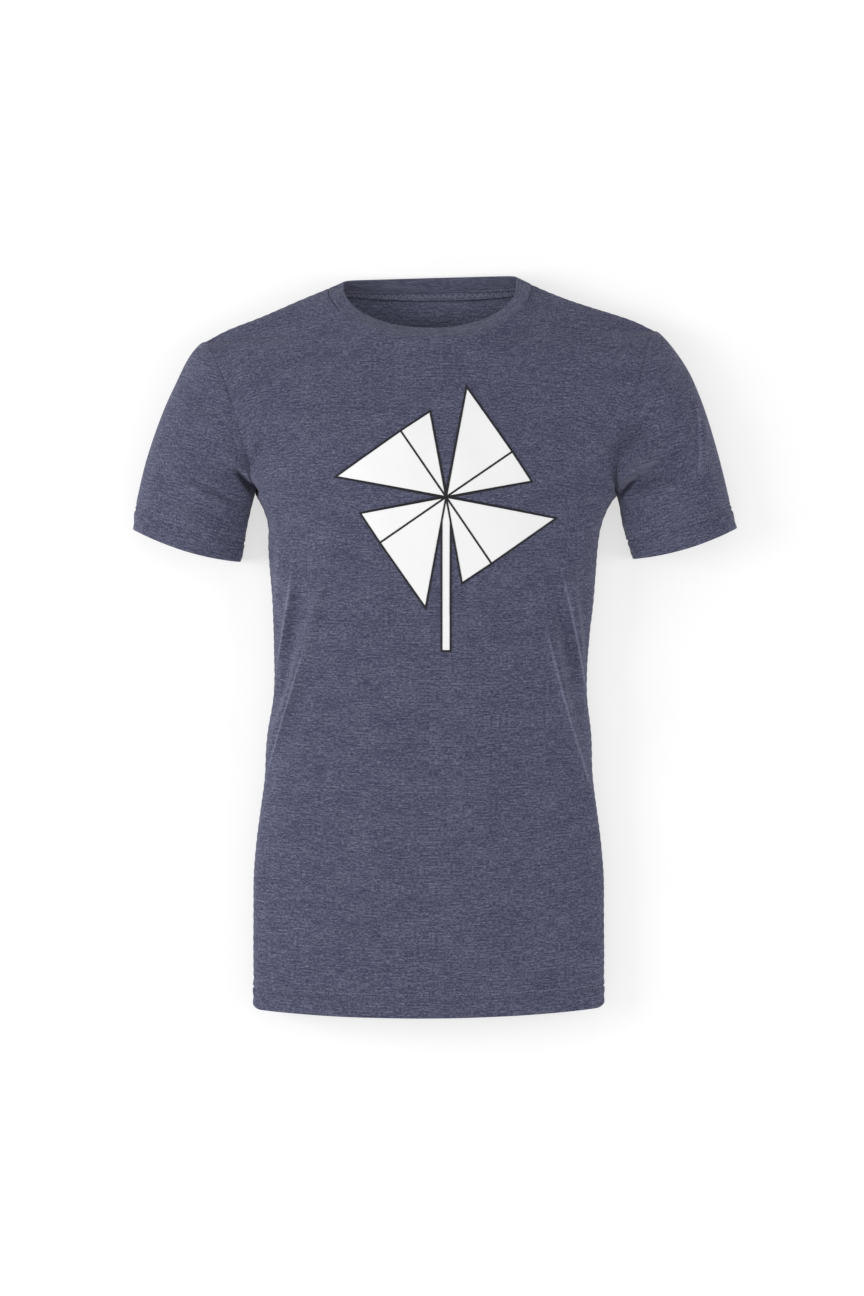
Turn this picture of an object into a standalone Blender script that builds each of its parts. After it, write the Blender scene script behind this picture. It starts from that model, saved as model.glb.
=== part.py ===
"""A crew-neck T-shirt in heathered jersey, lying on its back with its front up.

Metres, +Z up. The neck points along +Y and the hem along -Y, and the back panel rests on Z = 0.
Each cloth piece is one surface, made from a grid by a formula and thickened inward to its wall.
"""

from math import cos, exp, hypot, pi, sin, sqrt, tan

import bmesh
import bpy

# Body lengths, down the middle and down the side
BODY_LENGTH = 0.740
WAIST_BELOW_ARMPIT = 0.193
HIP_BELOW_ARMPIT = 0.400
HEM_END_RISE = 0.010
HEM_CORNER_RISE = 0.005

# Half widths of the body as it lies, seen from above
CHEST_HALF = 0.168
WAIST_HALF = 0.157
HEM_HALF = 0.1775
ARMPIT_FLARE = 0.014

# Neck and shoulders
NECK_HALF = 0.1037
FRONT_NECK_DROP = 0.055
BACK_NECK_DROP = 0.004
SHOULDER_HALF = 0.227
SHOULDER_DROP = 0.052
SHOULDER_ROUND = 0.004

# Armholes and sleeves
ARMHOLE_DEPTH = 0.163
ARMHOLE_SCOOP = 0.0075
SLEEVE_UNDERARM = 0.062
SLEEVE_UNDERARM_OUT = 0.0172
SLEEVE_OPENING = 0.1103
SLEEVE_OPENING_RISE = 0.0304
SLEEVE_CAP_ROUND = 0.038
SLEEVE_HEM_BOW = 0.007

# How high the cloth stands above the table
SEAM_HEIGHT = 0.020
HEM_LOFT = 0.050
WAIST_LOFT = 0.062
CHEST_LOFT = 0.080
NECK_LOFT = 0.066
SLEEVE_CAP_LOFT = 0.032
SLEEVE_HEM_LOFT = 0.026
FRONT_SHOULDER_ROLL = 0.150
BACK_SHOULDER_ROLL = 0.040
SLEEVE_ROLL_SHARE = 0.35
BACK_FLAT_SHARE = 0.78

# Neck rib and the tape that covers its seam inside the back
RIB_WIDTH = 0.0165
RIB_FRONT_SHOWN = 0.0105
RIB_FRONT_DIP = 0.012
RIB_BACK_RISE = 0.0085
RIB_LIFT = 0.003
RIB_WALL = 0.0016
TAPE_HALF = 0.085
TAPE_WIDTH = 0.010
TAPE_INSET = 0.001
TAPE_WALL = 0.0006

# Print: a folded-paper pinwheel on a stick, in white with black fold lines
PRINT_ACROSS = 0.016
PRINT_UP = 0.150
BLADE = 0.112
BLADE_MIDDLE = 0.080
BLADE_FOLD = 0.087
BLADE_SPACE = 21.0
STICK_LENGTH = 0.153
STICK_WIDTH = 0.009
LINE = 0.0026
INK = 0.0003

# Cloth, and the gaps that keep sewn edges and layers just apart
WALL = 0.0006
EDGE_CLEARANCE = 0.0004
LAYER_GAP = 0.0004

# Soft folds: start, end, height and half width, on the front of the body and of each sleeve
FRONT_FOLDS = (
    ((-0.107, 0.079), (-0.158, -0.090), 0.0035, 0.010),
    ((-0.104, -0.040), (-0.152, -0.150), 0.0030, 0.011),
    ((0.122, 0.090), (0.150, -0.030), 0.0035, 0.010),
    ((0.114, 0.024), (0.152, -0.150), 0.0035, 0.011),
    ((-0.172, 0.205), (-0.120, 0.160), 0.0030, 0.012),
    ((0.172, 0.205), (0.118, 0.150), 0.0030, 0.012),
)
LEFT_SLEEVE_FOLDS = (
    ((0.190, 0.148), (0.250, 0.226), 0.0045, 0.010),
    ((0.275, 0.240), (0.268, 0.170), 0.0035, 0.010),
    ((0.215, 0.130), (0.262, 0.182), 0.0035, 0.009),
)
RIGHT_SLEEVE_FOLDS = (
    ((-0.198, 0.138), (-0.262, 0.170), 0.0035, 0.010),
    ((-0.205, 0.112), (-0.275, 0.140), 0.0030, 0.009),
)

# Powers that set how full each curve is
CROWN_POWER = 2.3
SHOULDER_ROLL_POWER = 1.3
CAP_POWER = 1.2
UNDERSIDE_POWER = 2.5
HEM_CORNER_POWER = 12
SLEEVE_CAP_POWER = 0.4
RIB_BACK_POWER = 0.6
ROW_SPREAD_POWER = 1.3

# Grid counts
NECK_COLUMNS = 12
SHOULDER_COLUMNS = 7
BODY_ROWS = 14
ARMHOLE_ROWS = 12
SLEEVE_ROWS = 8
RIB_ROWS = 3

JERSEY = (0.093, 0.095, 0.150)
WHITE_INK = (0.90, 0.90, 0.92)
BLACK_INK = (0.012, 0.012, 0.014)

# Levels and gaps worked out from the sizes above. A wall's inner rim leans past its outer one.
SEAM_GAP = EDGE_CLEARANCE + WALL
ARMHOLE_GAP = EDGE_CLEARANCE + WALL / 2
RIB_GAP = EDGE_CLEARANCE + RIB_WALL / 4
NECK_POINT_Y = (BODY_LENGTH - RIB_BACK_RISE) / 2
HEM_Y = NECK_POINT_Y - BODY_LENGTH
TIP_Y = NECK_POINT_Y - SHOULDER_DROP
ARMPIT_Y = TIP_Y - ARMHOLE_DEPTH
ARMPIT_HALF = CHEST_HALF + ARMPIT_FLARE
SIDE_HEM_Y = HEM_Y + HEM_END_RISE + HEM_CORNER_RISE
NECK_SHARE = NECK_HALF / SHOULDER_HALF


def clamp(value):
    """Keep a share between 0 and 1."""
    return min(max(value, 0.0), 1.0)


def ease(share):
    """Go from 0 to 1 with flat ends."""
    share = clamp(share)
    return share * share * (3 - 2 * share)


def mix(low, high, share):
    """Blend two values."""
    return low + (high - low) * share


def round_up(share):
    """A quarter circle: 0 and upright at 0, 1 and level at 1."""
    share = clamp(share)
    return sqrt(1 - (1 - share) ** 2)


def armhole_share(y):
    """How far up the armhole a level is, 0 at the armpit and 1 at the shoulder tip."""
    return clamp((y - ARMPIT_Y) / ARMHOLE_DEPTH)


def armhole_swell(share):
    """0 at both ends of the armhole and 1 halfway, round like a circle."""
    return 2 * sqrt(max(share * (1 - share), 0.0))


def body_half(y):
    """Half width of the body at a level: side seam, then armhole seam, then shoulder."""
    if y >= ARMPIT_Y:
        share = armhole_share(y)
        return mix(ARMPIT_HALF, SHOULDER_HALF, share) - ARMHOLE_SCOOP * armhole_swell(share)
    below = ARMPIT_Y - y
    to_waist = ease(below / WAIST_BELOW_ARMPIT)
    to_hip = ease((below - WAIST_BELOW_ARMPIT) / (HIP_BELOW_ARMPIT - WAIST_BELOW_ARMPIT))
    half = mix(mix(CHEST_HALF, WAIST_HALF, to_waist), HEM_HALF, to_hip)
    return half + ARMPIT_FLARE * exp(-below / ARMPIT_FLARE)


def hem_level(u):
    """Lower edge of a panel, u from -1 to 1 across it."""
    return HEM_Y + HEM_END_RISE * u * u + HEM_CORNER_RISE * abs(u) ** HEM_CORNER_POWER


def shoulder_level(x):
    """Shoulder line, carried on over the neck as a virtual roof."""
    out = (abs(x) - NECK_HALF) / (SHOULDER_HALF - NECK_HALF)
    level = NECK_POINT_Y - SHOULDER_DROP * out
    if out > 0:
        level += SHOULDER_ROUND * sin(pi * clamp(out) ** 3)
    return level


def top_level(u, neck_drop):
    """Upper edge of a panel: the neckline, then the shoulder line."""
    if abs(u) <= NECK_SHARE:
        return NECK_POINT_Y - neck_drop * sqrt(max(1 - (u / NECK_SHARE) ** 2, 0.0))
    return shoulder_level(u * SHOULDER_HALF)


def loft(y):
    """Height of the front's crown above the table at a level."""
    to_waist = (y - HEM_Y) / (ARMPIT_Y - WAIST_BELOW_ARMPIT - HEM_Y)
    to_chest = (y - ARMPIT_Y + WAIST_BELOW_ARMPIT) / (WAIST_BELOW_ARMPIT + ARMHOLE_DEPTH / 4)
    to_neck = (y - ARMPIT_Y - ARMHOLE_DEPTH / 4) / (ARMHOLE_DEPTH * 3 / 4)
    rise = mix(HEM_LOFT, WAIST_LOFT, ease(to_waist))
    rise = mix(rise, CHEST_LOFT, ease(to_chest))
    return mix(rise, NECK_LOFT, ease(to_neck))


def upper_ring(share, cap_loft):
    """Height of the upper half of a sleeve's ring, 0 at its inner edge and 1 at its outer edge."""
    return SEAM_HEIGHT + cap_loft * armhole_swell(share) ** CAP_POWER


def lower_ring(share, rise):
    """Height of the lower half of a sleeve's ring, flat on the table apart from a rise of 0 to 1."""
    flat = (1 - armhole_swell(share)) ** UNDERSIDE_POWER
    return SEAM_HEIGHT * mix(flat, 1.0, rise)


def back_roll(x, y):
    """How far the back has rolled up to the shoulder seam at a point, 0 to 1."""
    return 1 - round_up((shoulder_level(x) - y) / BACK_SHOULDER_ROLL)


def front_height(u, y):
    """Height of the front panel's outer face."""
    share = armhole_share(y)
    edge = upper_ring(share, SLEEVE_CAP_LOFT) + SEAM_GAP / 2
    fullness = mix(0.5, 1.0, armhole_swell(share))
    across = max(1 - abs(u) ** CROWN_POWER, 0.0) ** fullness
    down = (shoulder_level(u * body_half(y)) - y) / FRONT_SHOULDER_ROLL
    full = across * round_up(down) ** SHOULDER_ROLL_POWER
    return mix(edge, max(loft(y), edge), full)


def back_height(u, y):
    """Height of the back panel's outer face: flat on the table, rolling up to its seams."""
    out = clamp((abs(u) - BACK_FLAT_SHARE) / (1 - BACK_FLAT_SHARE))
    side = 1 - sqrt(1 - out * out)
    edge = lower_ring(armhole_share(y), 0.0) * side
    height = mix(edge, SEAM_HEIGHT, back_roll(u * body_half(y), y))
    return height * (SEAM_HEIGHT - SEAM_GAP / 2) / SEAM_HEIGHT


def fold_rise(x, y, folds):
    """Height that the soft folds add at a point."""
    rise = 0.0
    for start, end, height, half_width in folds:
        run = (end[0] - start[0], end[1] - start[1])
        length = hypot(*run)
        away = (x - start[0], y - start[1])
        along = (away[0] * run[0] + away[1] * run[1]) / length ** 2
        off = (away[0] * run[1] - away[1] * run[0]) / length
        if 0 < along < 1:
            rise += height * sin(pi * along) * exp(-((off / half_width) ** 2))
    return rise


def columns():
    """Places across a panel, closer together at the neck points and the side seams."""
    neck = [NECK_SHARE * sin(pi * (i / NECK_COLUMNS - 0.5)) for i in range(NECK_COLUMNS + 1)]
    steps = [sin(pi / 2 * (i + 1) / SHOULDER_COLUMNS) for i in range(SHOULDER_COLUMNS)]
    shoulder = [mix(NECK_SHARE, 1.0, step) for step in steps]
    return [-u for u in reversed(shoulder)] + neck + shoulder


def rows():
    """Shares of a panel's height: wider apart to the hem, and matched to the sleeve above."""
    side = TIP_Y - SIDE_HEM_Y
    body = ARMPIT_Y - SIDE_HEM_Y
    below = [body * (1 - (1 - i / BODY_ROWS) ** ROW_SPREAD_POWER) for i in range(BODY_ROWS)]
    above = [body + ARMHOLE_DEPTH * ring_share(i / ARMHOLE_ROWS) for i in range(ARMHOLE_ROWS + 1)]
    return [level / side for level in below + above]


def ring_share(turn):
    """Share of the way across a ring after a share of half a turn."""
    return (1 - cos(pi * turn)) / 2


def material(name, color, roughness):
    """A plain material."""
    made = bpy.data.materials.new(name)
    made.use_nodes = True
    shader = made.node_tree.nodes["Principled BSDF"]
    shader.inputs["Base Color"].default_value = (*color, 1.0)
    shader.inputs["Roughness"].default_value = roughness
    return made


def collection(name):
    """A new collection in the scene."""
    made = bpy.data.collections.new(name)
    bpy.context.scene.collection.children.link(made)
    return made


def sheet(name, across, along, place, folds=(), lift=0.0, looped=False):
    """Lay a grid out by a formula, raise its folds, and lift it off along its normals.

    All copies of one grid are split into the same triangles, so that layers stay parallel.
    """
    grid = bmesh.new()
    wide = len(across)
    bmesh.ops.create_grid(grid, x_segments=wide - 1, y_segments=len(along) - 1, size=0.5)
    grid.verts.ensure_lookup_table()
    for index, vert in enumerate(grid.verts):
        vert.co = place(across[index % wide], along[index // wide])
    if looped:
        bmesh.ops.remove_doubles(grid, verts=grid.verts, dist=1e-6)
    bmesh.ops.triangulate(grid, faces=grid.faces, quad_method="FIXED")
    grid.normal_update()
    for vert in grid.verts:
        if not vert.is_boundary and vert.normal.z > 0:
            vert.co += vert.normal * fold_rise(vert.co.x, vert.co.y, folds)
    grid.normal_update()
    for vert in grid.verts:
        vert.co += vert.normal * lift
    mesh = bpy.data.meshes.new(name)
    grid.to_mesh(mesh)
    grid.free()
    mesh.shade_smooth()
    return bpy.data.objects.new(name, mesh)


def finish(thing, home, look, wall):
    """Thicken a surface inward, give it its material and put it in its collection."""
    shell = thing.modifiers.new("wall", "SOLIDIFY")
    shell.thickness = wall
    shell.offset = -1.0
    thing.data.materials.append(look)
    home.objects.link(thing)
    return thing


def front_surface(name, lift=0.0):
    """The front panel's outer face, or a copy that lies a little above it."""

    def place(u, v):
        y = mix(hem_level(u), top_level(u, FRONT_NECK_DROP), v)
        return (u * body_half(y), y, front_height(u, y))

    return sheet(name, columns(), rows(), place, FRONT_FOLDS, lift)


def back_surface(name, lift=0.0):
    """The back panel's outer face, which looks down, or a copy inside it."""

    def place(u, v):
        y = mix(hem_level(u), top_level(u, BACK_NECK_DROP), v)
        return (u * body_half(y), y, back_height(u, y))

    return sheet(name, [-u for u in columns()], rows(), place, lift=lift)


def sleeve_surface(name, side, folds):
    """One sleeve: a tube from the armhole's ring to the hem's ring."""
    corner = (
        ARMPIT_HALF + SLEEVE_UNDERARM_OUT,
        ARMPIT_Y - sqrt(SLEEVE_UNDERARM ** 2 - SLEEVE_UNDERARM_OUT ** 2),
    )
    reach = sqrt(SLEEVE_OPENING ** 2 - SLEEVE_OPENING_RISE ** 2)
    outer_corner = (corner[0] + reach, corner[1] + SLEEVE_OPENING_RISE)
    run = (outer_corner[0] - SHOULDER_HALF, outer_corner[1] - TIP_Y)
    length = hypot(*run)
    half_turn = [ring_share(i / ARMHOLE_ROWS) for i in range(ARMHOLE_ROWS)]
    upper = [(1 - share, 1) for share in half_turn]
    lower = [(share, -1) for share in half_turn]
    ring = upper + lower + upper[:1]

    def place(turn, down):
        share, face = turn
        path = mix(SLEEVE_UNDERARM, length, share)
        down = mix(ARMHOLE_GAP / path, 1.0, down)
        y = ARMPIT_Y + ARMHOLE_DEPTH * share
        bulge = SLEEVE_CAP_ROUND * down ** SLEEVE_CAP_POWER * (1 - down) * share
        scoop = (body_half(y) - mix(ARMPIT_HALF, SHOULDER_HALF, share)) * (1 - down) ** 2
        bow = SLEEVE_HEM_BOW * down ** 2 * armhole_swell(share) ** 2
        start = (mix(ARMPIT_HALF, SHOULDER_HALF, share) + scoop, y)
        shift = (
            mix(corner[0] - ARMPIT_HALF, run[0], share),
            mix(corner[1] - ARMPIT_Y, run[1], share),
        )
        x = start[0] + shift[0] * down - run[1] / length * bulge
        y = start[1] + shift[1] * down + run[0] / length * bulge
        x += bow * SLEEVE_OPENING_RISE / SLEEVE_OPENING
        y -= bow * reach / SLEEVE_OPENING
        if face > 0:
            height = upper_ring(share, mix(SLEEVE_CAP_LOFT, SLEEVE_HEM_LOFT, down))
        else:
            seam_y = ARMPIT_Y + ARMHOLE_DEPTH * share
            roll = back_roll(body_half(seam_y), seam_y)
            height = lower_ring(share, roll * (1 - ease(down / SLEEVE_ROLL_SHARE)))
        return (side * x, y, height)

    if side < 0:
        ring = ring[::-1]
    along = [i / SLEEVE_ROWS for i in range(SLEEVE_ROWS + 1)]
    return sheet(name, ring, along, place, folds, looped=True)


def rib_surface(name):
    """The neck rib, a band from the neck seam to its free edge."""
    half_ring = [pi * (i / NECK_COLUMNS - 0.5) for i in range(NECK_COLUMNS)]
    ring = half_ring + [turn + pi for turn in half_ring] + half_ring[:1]

    def seam(turn):
        front = cos(turn)
        drop = FRONT_NECK_DROP if front > 0 else BACK_NECK_DROP
        y = NECK_POINT_Y - drop * abs(front)
        u = NECK_SHARE * sin(turn)
        if abs(front) < 1e-6:
            return (NECK_HALF * sin(turn), y, SEAM_HEIGHT)
        height = front_height(u, y) if front > 0 else back_height(u, y)
        return (NECK_HALF * sin(turn), y, height)

    def place(turn, out):
        start = seam(turn)
        front = cos(turn)
        x = (NECK_HALF - RIB_WIDTH) * sin(turn)
        y = NECK_POINT_Y - (FRONT_NECK_DROP - RIB_FRONT_SHOWN) * front
        lift = mix(RIB_LIFT, -RIB_FRONT_DIP, max(front, 0.0))
        if front < 0:
            y = NECK_POINT_Y + RIB_BACK_RISE * abs(front) ** RIB_BACK_POWER
        end = (x, y, start[2] + lift)
        width = hypot(end[0] - start[0], end[1] - start[1], lift)
        out = mix(RIB_GAP / width, 1.0, out)
        return [mix(a, b, out) for a, b in zip(start, end)]

    return sheet(name, ring, [i / RIB_ROWS for i in range(RIB_ROWS + 1)], place, looped=True)


def flat_cutter(name, outlines, cutters):
    """Upright cutter of one or more flat outlines, taller than the shirt."""
    outline_curve = bpy.data.curves.new(name, "CURVE")
    outline_curve.dimensions = "2D"
    outline_curve.fill_mode = "BOTH"
    outline_curve.extrude = CHEST_LOFT * 2
    for outline in outlines:
        spline = outline_curve.splines.new("POLY")
        spline.points.add(len(outline) - 1)
        for point, (x, y) in zip(spline.points, outline):
            point.co = (x, y, 0.0, 1.0)
        spline.use_cyclic_u = True
    drawn = bpy.data.objects.new(name, outline_curve)
    cutters.objects.link(drawn)
    mesh = bpy.data.meshes.new_from_object(drawn.evaluated_get(bpy.context.evaluated_depsgraph_get()))
    solid = bmesh.new()
    solid.from_mesh(mesh)
    bmesh.ops.remove_doubles(solid, verts=solid.verts, dist=1e-6)
    solid.to_mesh(mesh)
    solid.free()
    bpy.data.objects.remove(drawn)
    cutter = bpy.data.objects.new(name, mesh)
    cutter.display_type = "WIRE"
    cutter.hide_render = True
    cutters.objects.link(cutter)
    return cutter


def keep(thing, cutter, operation="INTERSECT"):
    """Keep only what lies inside the cutter, or outside it for a difference."""
    trim = thing.modifiers.new(cutter.name, "BOOLEAN")
    trim.operation = operation
    trim.solver = "EXACT"
    trim.object = cutter


def grown(outline, distance):
    """Move each side of an anticlockwise outline outward, or inward if the distance is negative."""
    moved = []
    count = len(outline)
    for index, (x, y) in enumerate(outline):
        before = outline[index - 1]
        after = outline[(index + 1) % count]
        first = (x - before[0], y - before[1])
        second = (after[0] - x, after[1] - y)
        first_length = hypot(*first)
        second_length = hypot(*second)
        normals = (
            (first[1] / first_length, -first[0] / first_length),
            (second[1] / second_length, -second[0] / second_length),
        )
        sum_x = normals[0][0] + normals[1][0]
        sum_y = normals[0][1] + normals[1][1]
        scale = 2 * distance / (sum_x ** 2 + sum_y ** 2)
        moved.append((x + sum_x * scale, y + sum_y * scale))
    return moved


def around(radius, degrees):
    """A point of the print, from its hub, anticlockwise from the right."""
    angle = degrees * pi / 180
    return (PRINT_ACROSS + radius * cos(angle), PRINT_UP + radius * sin(angle))


def pinwheel():
    """Outline of the pinwheel, and the outline of each of its paper faces and its stick."""
    seat = STICK_WIDTH / 2 / tan(pi * BLADE_SPACE / 360)
    left = PRINT_ACROSS - STICK_WIDTH / 2
    right = PRINT_ACROSS + STICK_WIDTH / 2
    foot = PRINT_UP - STICK_LENGTH
    stick = [(left, PRINT_UP - seat), (left, foot), (right, foot), (right, PRINT_UP - seat)]
    hub = (PRINT_ACROSS, PRINT_UP)
    outline = []
    faces = [[hub] + stick]
    for quarter in range(4):
        tip_angle = 90 * quarter - BLADE_SPACE / 2
        fold = around(BLADE_FOLD, tip_angle - 90 + BLADE_SPACE)
        middle = around(BLADE_MIDDLE, tip_angle - 45)
        tip = around(BLADE, tip_angle)
        outline += [fold, middle, tip, around(2 * LINE, tip_angle + BLADE_SPACE / 2)]
        faces.append([hub, fold, middle])
        faces.append([hub, middle, tip])
    return outline[:-1] + stick, faces


def tape_outline():
    """Outline of the neck tape, a strip just below the back neck seam."""
    places = [TAPE_HALF * (i / NECK_COLUMNS * 2 - 1) for i in range(NECK_COLUMNS + 1)]
    upper = [(x, top_level(x / SHOULDER_HALF, BACK_NECK_DROP) - TAPE_INSET) for x in places]
    lower = [(x, y - TAPE_WIDTH) for x, y in upper]
    return lower + upper[::-1]


def build_print(home, cutters):
    """The print: a white shape, and black fold lines over it."""
    outline, faces = pinwheel()
    white = front_surface("print_white", LAYER_GAP + INK)
    finish(white, home, material("white_ink", WHITE_INK, 0.6), INK)
    keep(white, flat_cutter("white_outline", [outline], cutters))
    black = front_surface("print_lines", 2 * (LAYER_GAP + INK))
    finish(black, home, material("black_ink", BLACK_INK, 0.5), INK)
    keep(black, flat_cutter("line_outline", [grown(outline, LINE / 2)], cutters))
    paper = [grown(face, -LINE / 2) for face in faces]
    keep(black, flat_cutter("paper_faces", paper, cutters), "DIFFERENCE")


def build():
    """Build the whole shirt."""
    for thing in list(bpy.data.objects):
        bpy.data.objects.remove(thing, do_unlink=True)
    home = collection("t_shirt")
    cutters = collection("cutters")
    jersey = material("heather_jersey", JERSEY, 0.95)
    rib_knit = material("heather_rib", JERSEY, 0.95)
    tape_weave = material("neck_tape", JERSEY, 0.9)

    finish(front_surface("front_panel"), home, jersey, WALL)
    finish(back_surface("back_panel"), home, jersey, WALL)
    finish(sleeve_surface("left_sleeve", 1, LEFT_SLEEVE_FOLDS), home, jersey, WALL)
    finish(sleeve_surface("right_sleeve", -1, RIGHT_SLEEVE_FOLDS), home, jersey, WALL)
    finish(rib_surface("neck_rib"), home, rib_knit, RIB_WALL)
    tape = finish(back_surface("neck_tape", -WALL - LAYER_GAP), home, tape_weave, TAPE_WALL)
    keep(tape, flat_cutter("tape_outline", [tape_outline()], cutters))
    build_print(home, cutters)


build()
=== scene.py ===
# %% [markdown]
# # A crew-neck T-shirt, lying on its back
#
# The shirt is knitted cloth and thread, so nearly every piece here is a thin curved sheet. Each sheet starts
# as a fine grid that a formula moves into place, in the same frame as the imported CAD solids, and then gets
# what the solids leave out: rolled hems, seams that dip, soft folds, ribs and stitches.
#
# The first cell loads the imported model. Its solids stay where they are for physics, and each sheet below
# stands for one of them.

# %% Load the frame
from math import cos, hypot, pi, sin, sqrt, tan

import bpy
import numpy as np
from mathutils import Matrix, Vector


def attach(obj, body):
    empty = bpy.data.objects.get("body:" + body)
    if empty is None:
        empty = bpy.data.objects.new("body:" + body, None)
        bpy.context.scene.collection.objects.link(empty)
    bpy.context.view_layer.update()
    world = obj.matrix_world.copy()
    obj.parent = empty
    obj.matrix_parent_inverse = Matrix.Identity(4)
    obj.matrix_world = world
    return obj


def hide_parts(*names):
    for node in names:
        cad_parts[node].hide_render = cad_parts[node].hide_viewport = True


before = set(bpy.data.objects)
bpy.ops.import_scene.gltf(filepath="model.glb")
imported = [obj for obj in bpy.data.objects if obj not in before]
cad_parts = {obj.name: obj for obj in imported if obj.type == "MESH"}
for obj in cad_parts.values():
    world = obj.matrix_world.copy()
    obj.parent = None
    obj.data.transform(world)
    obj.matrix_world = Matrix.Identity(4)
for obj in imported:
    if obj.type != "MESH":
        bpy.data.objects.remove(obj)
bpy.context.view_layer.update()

bpy.ops.object.select_all(action="DESELECT")

# %% [markdown]
# ## The pattern's sizes
#
# A garment is drawn from a few lengths: body length, widths at chest, waist and hem, the neck, the armhole
# and the sleeve. They are in metres. The neck points along +Y, the hem along -Y, and the back lies on Z = 0.
# Keeping them in one place means that every curve below follows when one of them changes.

# %% Pattern sizes
BODY_LENGTH = 0.740
WAIST_BELOW_ARMPIT = 0.193
HIP_BELOW_ARMPIT = 0.400
HEM_MIDDLE_RISE = 0.0027
HEM_END_RISE = 0.0078
HEM_CORNER_RISE = 0.0050
HEM_CORNER_SHARE = 0.955
CHEST_HALF = 0.168
WAIST_HALF = 0.158
HEM_HALF = 0.1775
HIP_FULLNESS = 0.0035
HIP_FULLNESS_BELOW = 0.238
ARMPIT_FLARE = 0.014
NECK_HALF = 0.1037
FRONT_NECK_DROP = 0.055
BACK_NECK_DROP = 0.004
SHOULDER_HALF = 0.227
SHOULDER_DROP = 0.052
SHOULDER_ROUND = 0.003
ARMHOLE_DEPTH = 0.163
ARMHOLE_SCOOP = 0.0075
SLEEVE_UNDERARM = 0.062
SLEEVE_UNDERARM_OUT = 0.0172
SLEEVE_OPENING = 0.1103
SLEEVE_OPENING_RISE = 0.0304
SLEEVE_CAP_ROUND = 0.045
SLEEVE_CAP_POWER = 0.6
SLEEVE_HEM_BOW = 0.0050
RIB_WIDTH = 0.0165
RIB_FRONT_SHOWN = 0.0105
RIB_FRONT_DIP = 0.012
RIB_BACK_RISE = 0.0085
RIB_LIFT = 0.003
RIB_TOP_EXTRA = 0.0022

# Power that squares the corners of the rib's back edge, and how far in those corners lie
RIB_BACK_SQUARE = 0.12
RIB_BACK_IN = 0.0040
print("chest, flat,", round(2 * CHEST_HALF, 3), "m; sleeve opening", SLEEVE_OPENING, "m")

# %% Heights above the table
SEAM_HEIGHT = 0.020
HEM_LOFT = 0.050
WAIST_LOFT = 0.062
CHEST_LOFT = 0.080
NECK_LOFT = 0.066
SLEEVE_CAP_LOFT = 0.032
SLEEVE_HEM_LOFT = 0.026
FRONT_SHOULDER_ROLL = 0.150
BACK_SHOULDER_ROLL = 0.040
SLEEVE_ROLL_SHARE = 0.35
BACK_FLAT_SHARE = 0.78

# Powers that shape the round of the crown, the shoulder roll and a sleeve's ring
CROWN_POWER = 2.3
SHOULDER_POWER = 1.3
RING_POWER = 1.2
UNDER_RING_POWER = 2.5

# Cloth, and how far apart two sewn edges lie
WALL = 0.0006
SEAM_PART = 0.0001
print("crown at the chest", CHEST_LOFT, "m; wall", WALL, "m")

# %% Levels worked out from the sizes
NECK_POINT_Y = (BODY_LENGTH - RIB_BACK_RISE) / 2
HEM_Y = NECK_POINT_Y - BODY_LENGTH
TIP_Y = NECK_POINT_Y - SHOULDER_DROP
ARMPIT_Y = TIP_Y - ARMHOLE_DEPTH
ARMPIT_HALF = CHEST_HALF + ARMPIT_FLARE
NECK_SHARE = NECK_HALF / SHOULDER_HALF
print("neck point, armpit and hem levels", round(NECK_POINT_Y, 4), round(ARMPIT_Y, 4), round(HEM_Y, 4))

# %% [markdown]
# ## Small curve helpers
#
# Cloth has no straight lines for long. These few curves do most of the work: a blend, a blend with flat ends
# and a quarter circle. They take whole arrays of numbers, so that a grid of many thousands of points is
# placed in one go with numpy.

# %% Curve helpers


def clamp(value):
    """Keep a share between 0 and 1."""
    return np.clip(value, 0.0, 1.0)


def ease(share):
    """Go from 0 to 1 with flat ends."""
    share = clamp(share)
    return share * share * (3 - 2 * share)


def mix(low, high, share):
    """Blend two values."""
    return low + (high - low) * share


def round_up(share):
    """A quarter circle: upright at 0, level at 1."""
    return np.sqrt(1 - (1 - clamp(share)) ** 2)


def bell(value, width):
    """A smooth bump, 1 in the middle."""
    return np.exp(-((value / width) ** 2))


print("half way along the quarter circle:", round(float(round_up(0.5)), 3))

# %% [markdown]
# ## The outline of the body
#
# Seen from above, the body is drawn by its half width at each level and by three edges: the hem, the neckline
# and the shoulder line. The armhole curves in a little, and the side seam flares out just below the armpit,
# where the sleeve pulls on it.

# %% Outline of the body


def armhole_share(y):
    """How far up the armhole a level is."""
    return clamp((y - ARMPIT_Y) / ARMHOLE_DEPTH)


def swell(share):
    """0 at both ends and 1 halfway, round like a circle."""
    return 2 * np.sqrt(np.maximum(share * (1 - share), 0.0))


def body_half(y):
    """Half width of the body at a level."""
    share = armhole_share(y)
    armhole = mix(ARMPIT_HALF, SHOULDER_HALF, share) - ARMHOLE_SCOOP * swell(share)
    below = np.maximum(ARMPIT_Y - y, 0.0)
    to_waist = ease(below / WAIST_BELOW_ARMPIT)
    to_hip = ease((below - WAIST_BELOW_ARMPIT) / (HIP_BELOW_ARMPIT - WAIST_BELOW_ARMPIT))
    side = mix(mix(CHEST_HALF, WAIST_HALF, to_waist), HEM_HALF, to_hip)
    side = side + ARMPIT_FLARE * np.exp(-below / ARMPIT_FLARE)
    side = side + HIP_FULLNESS * bell(below - HIP_FULLNESS_BELOW, 0.030)
    return np.where(y >= ARMPIT_Y, armhole, side)


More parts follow.
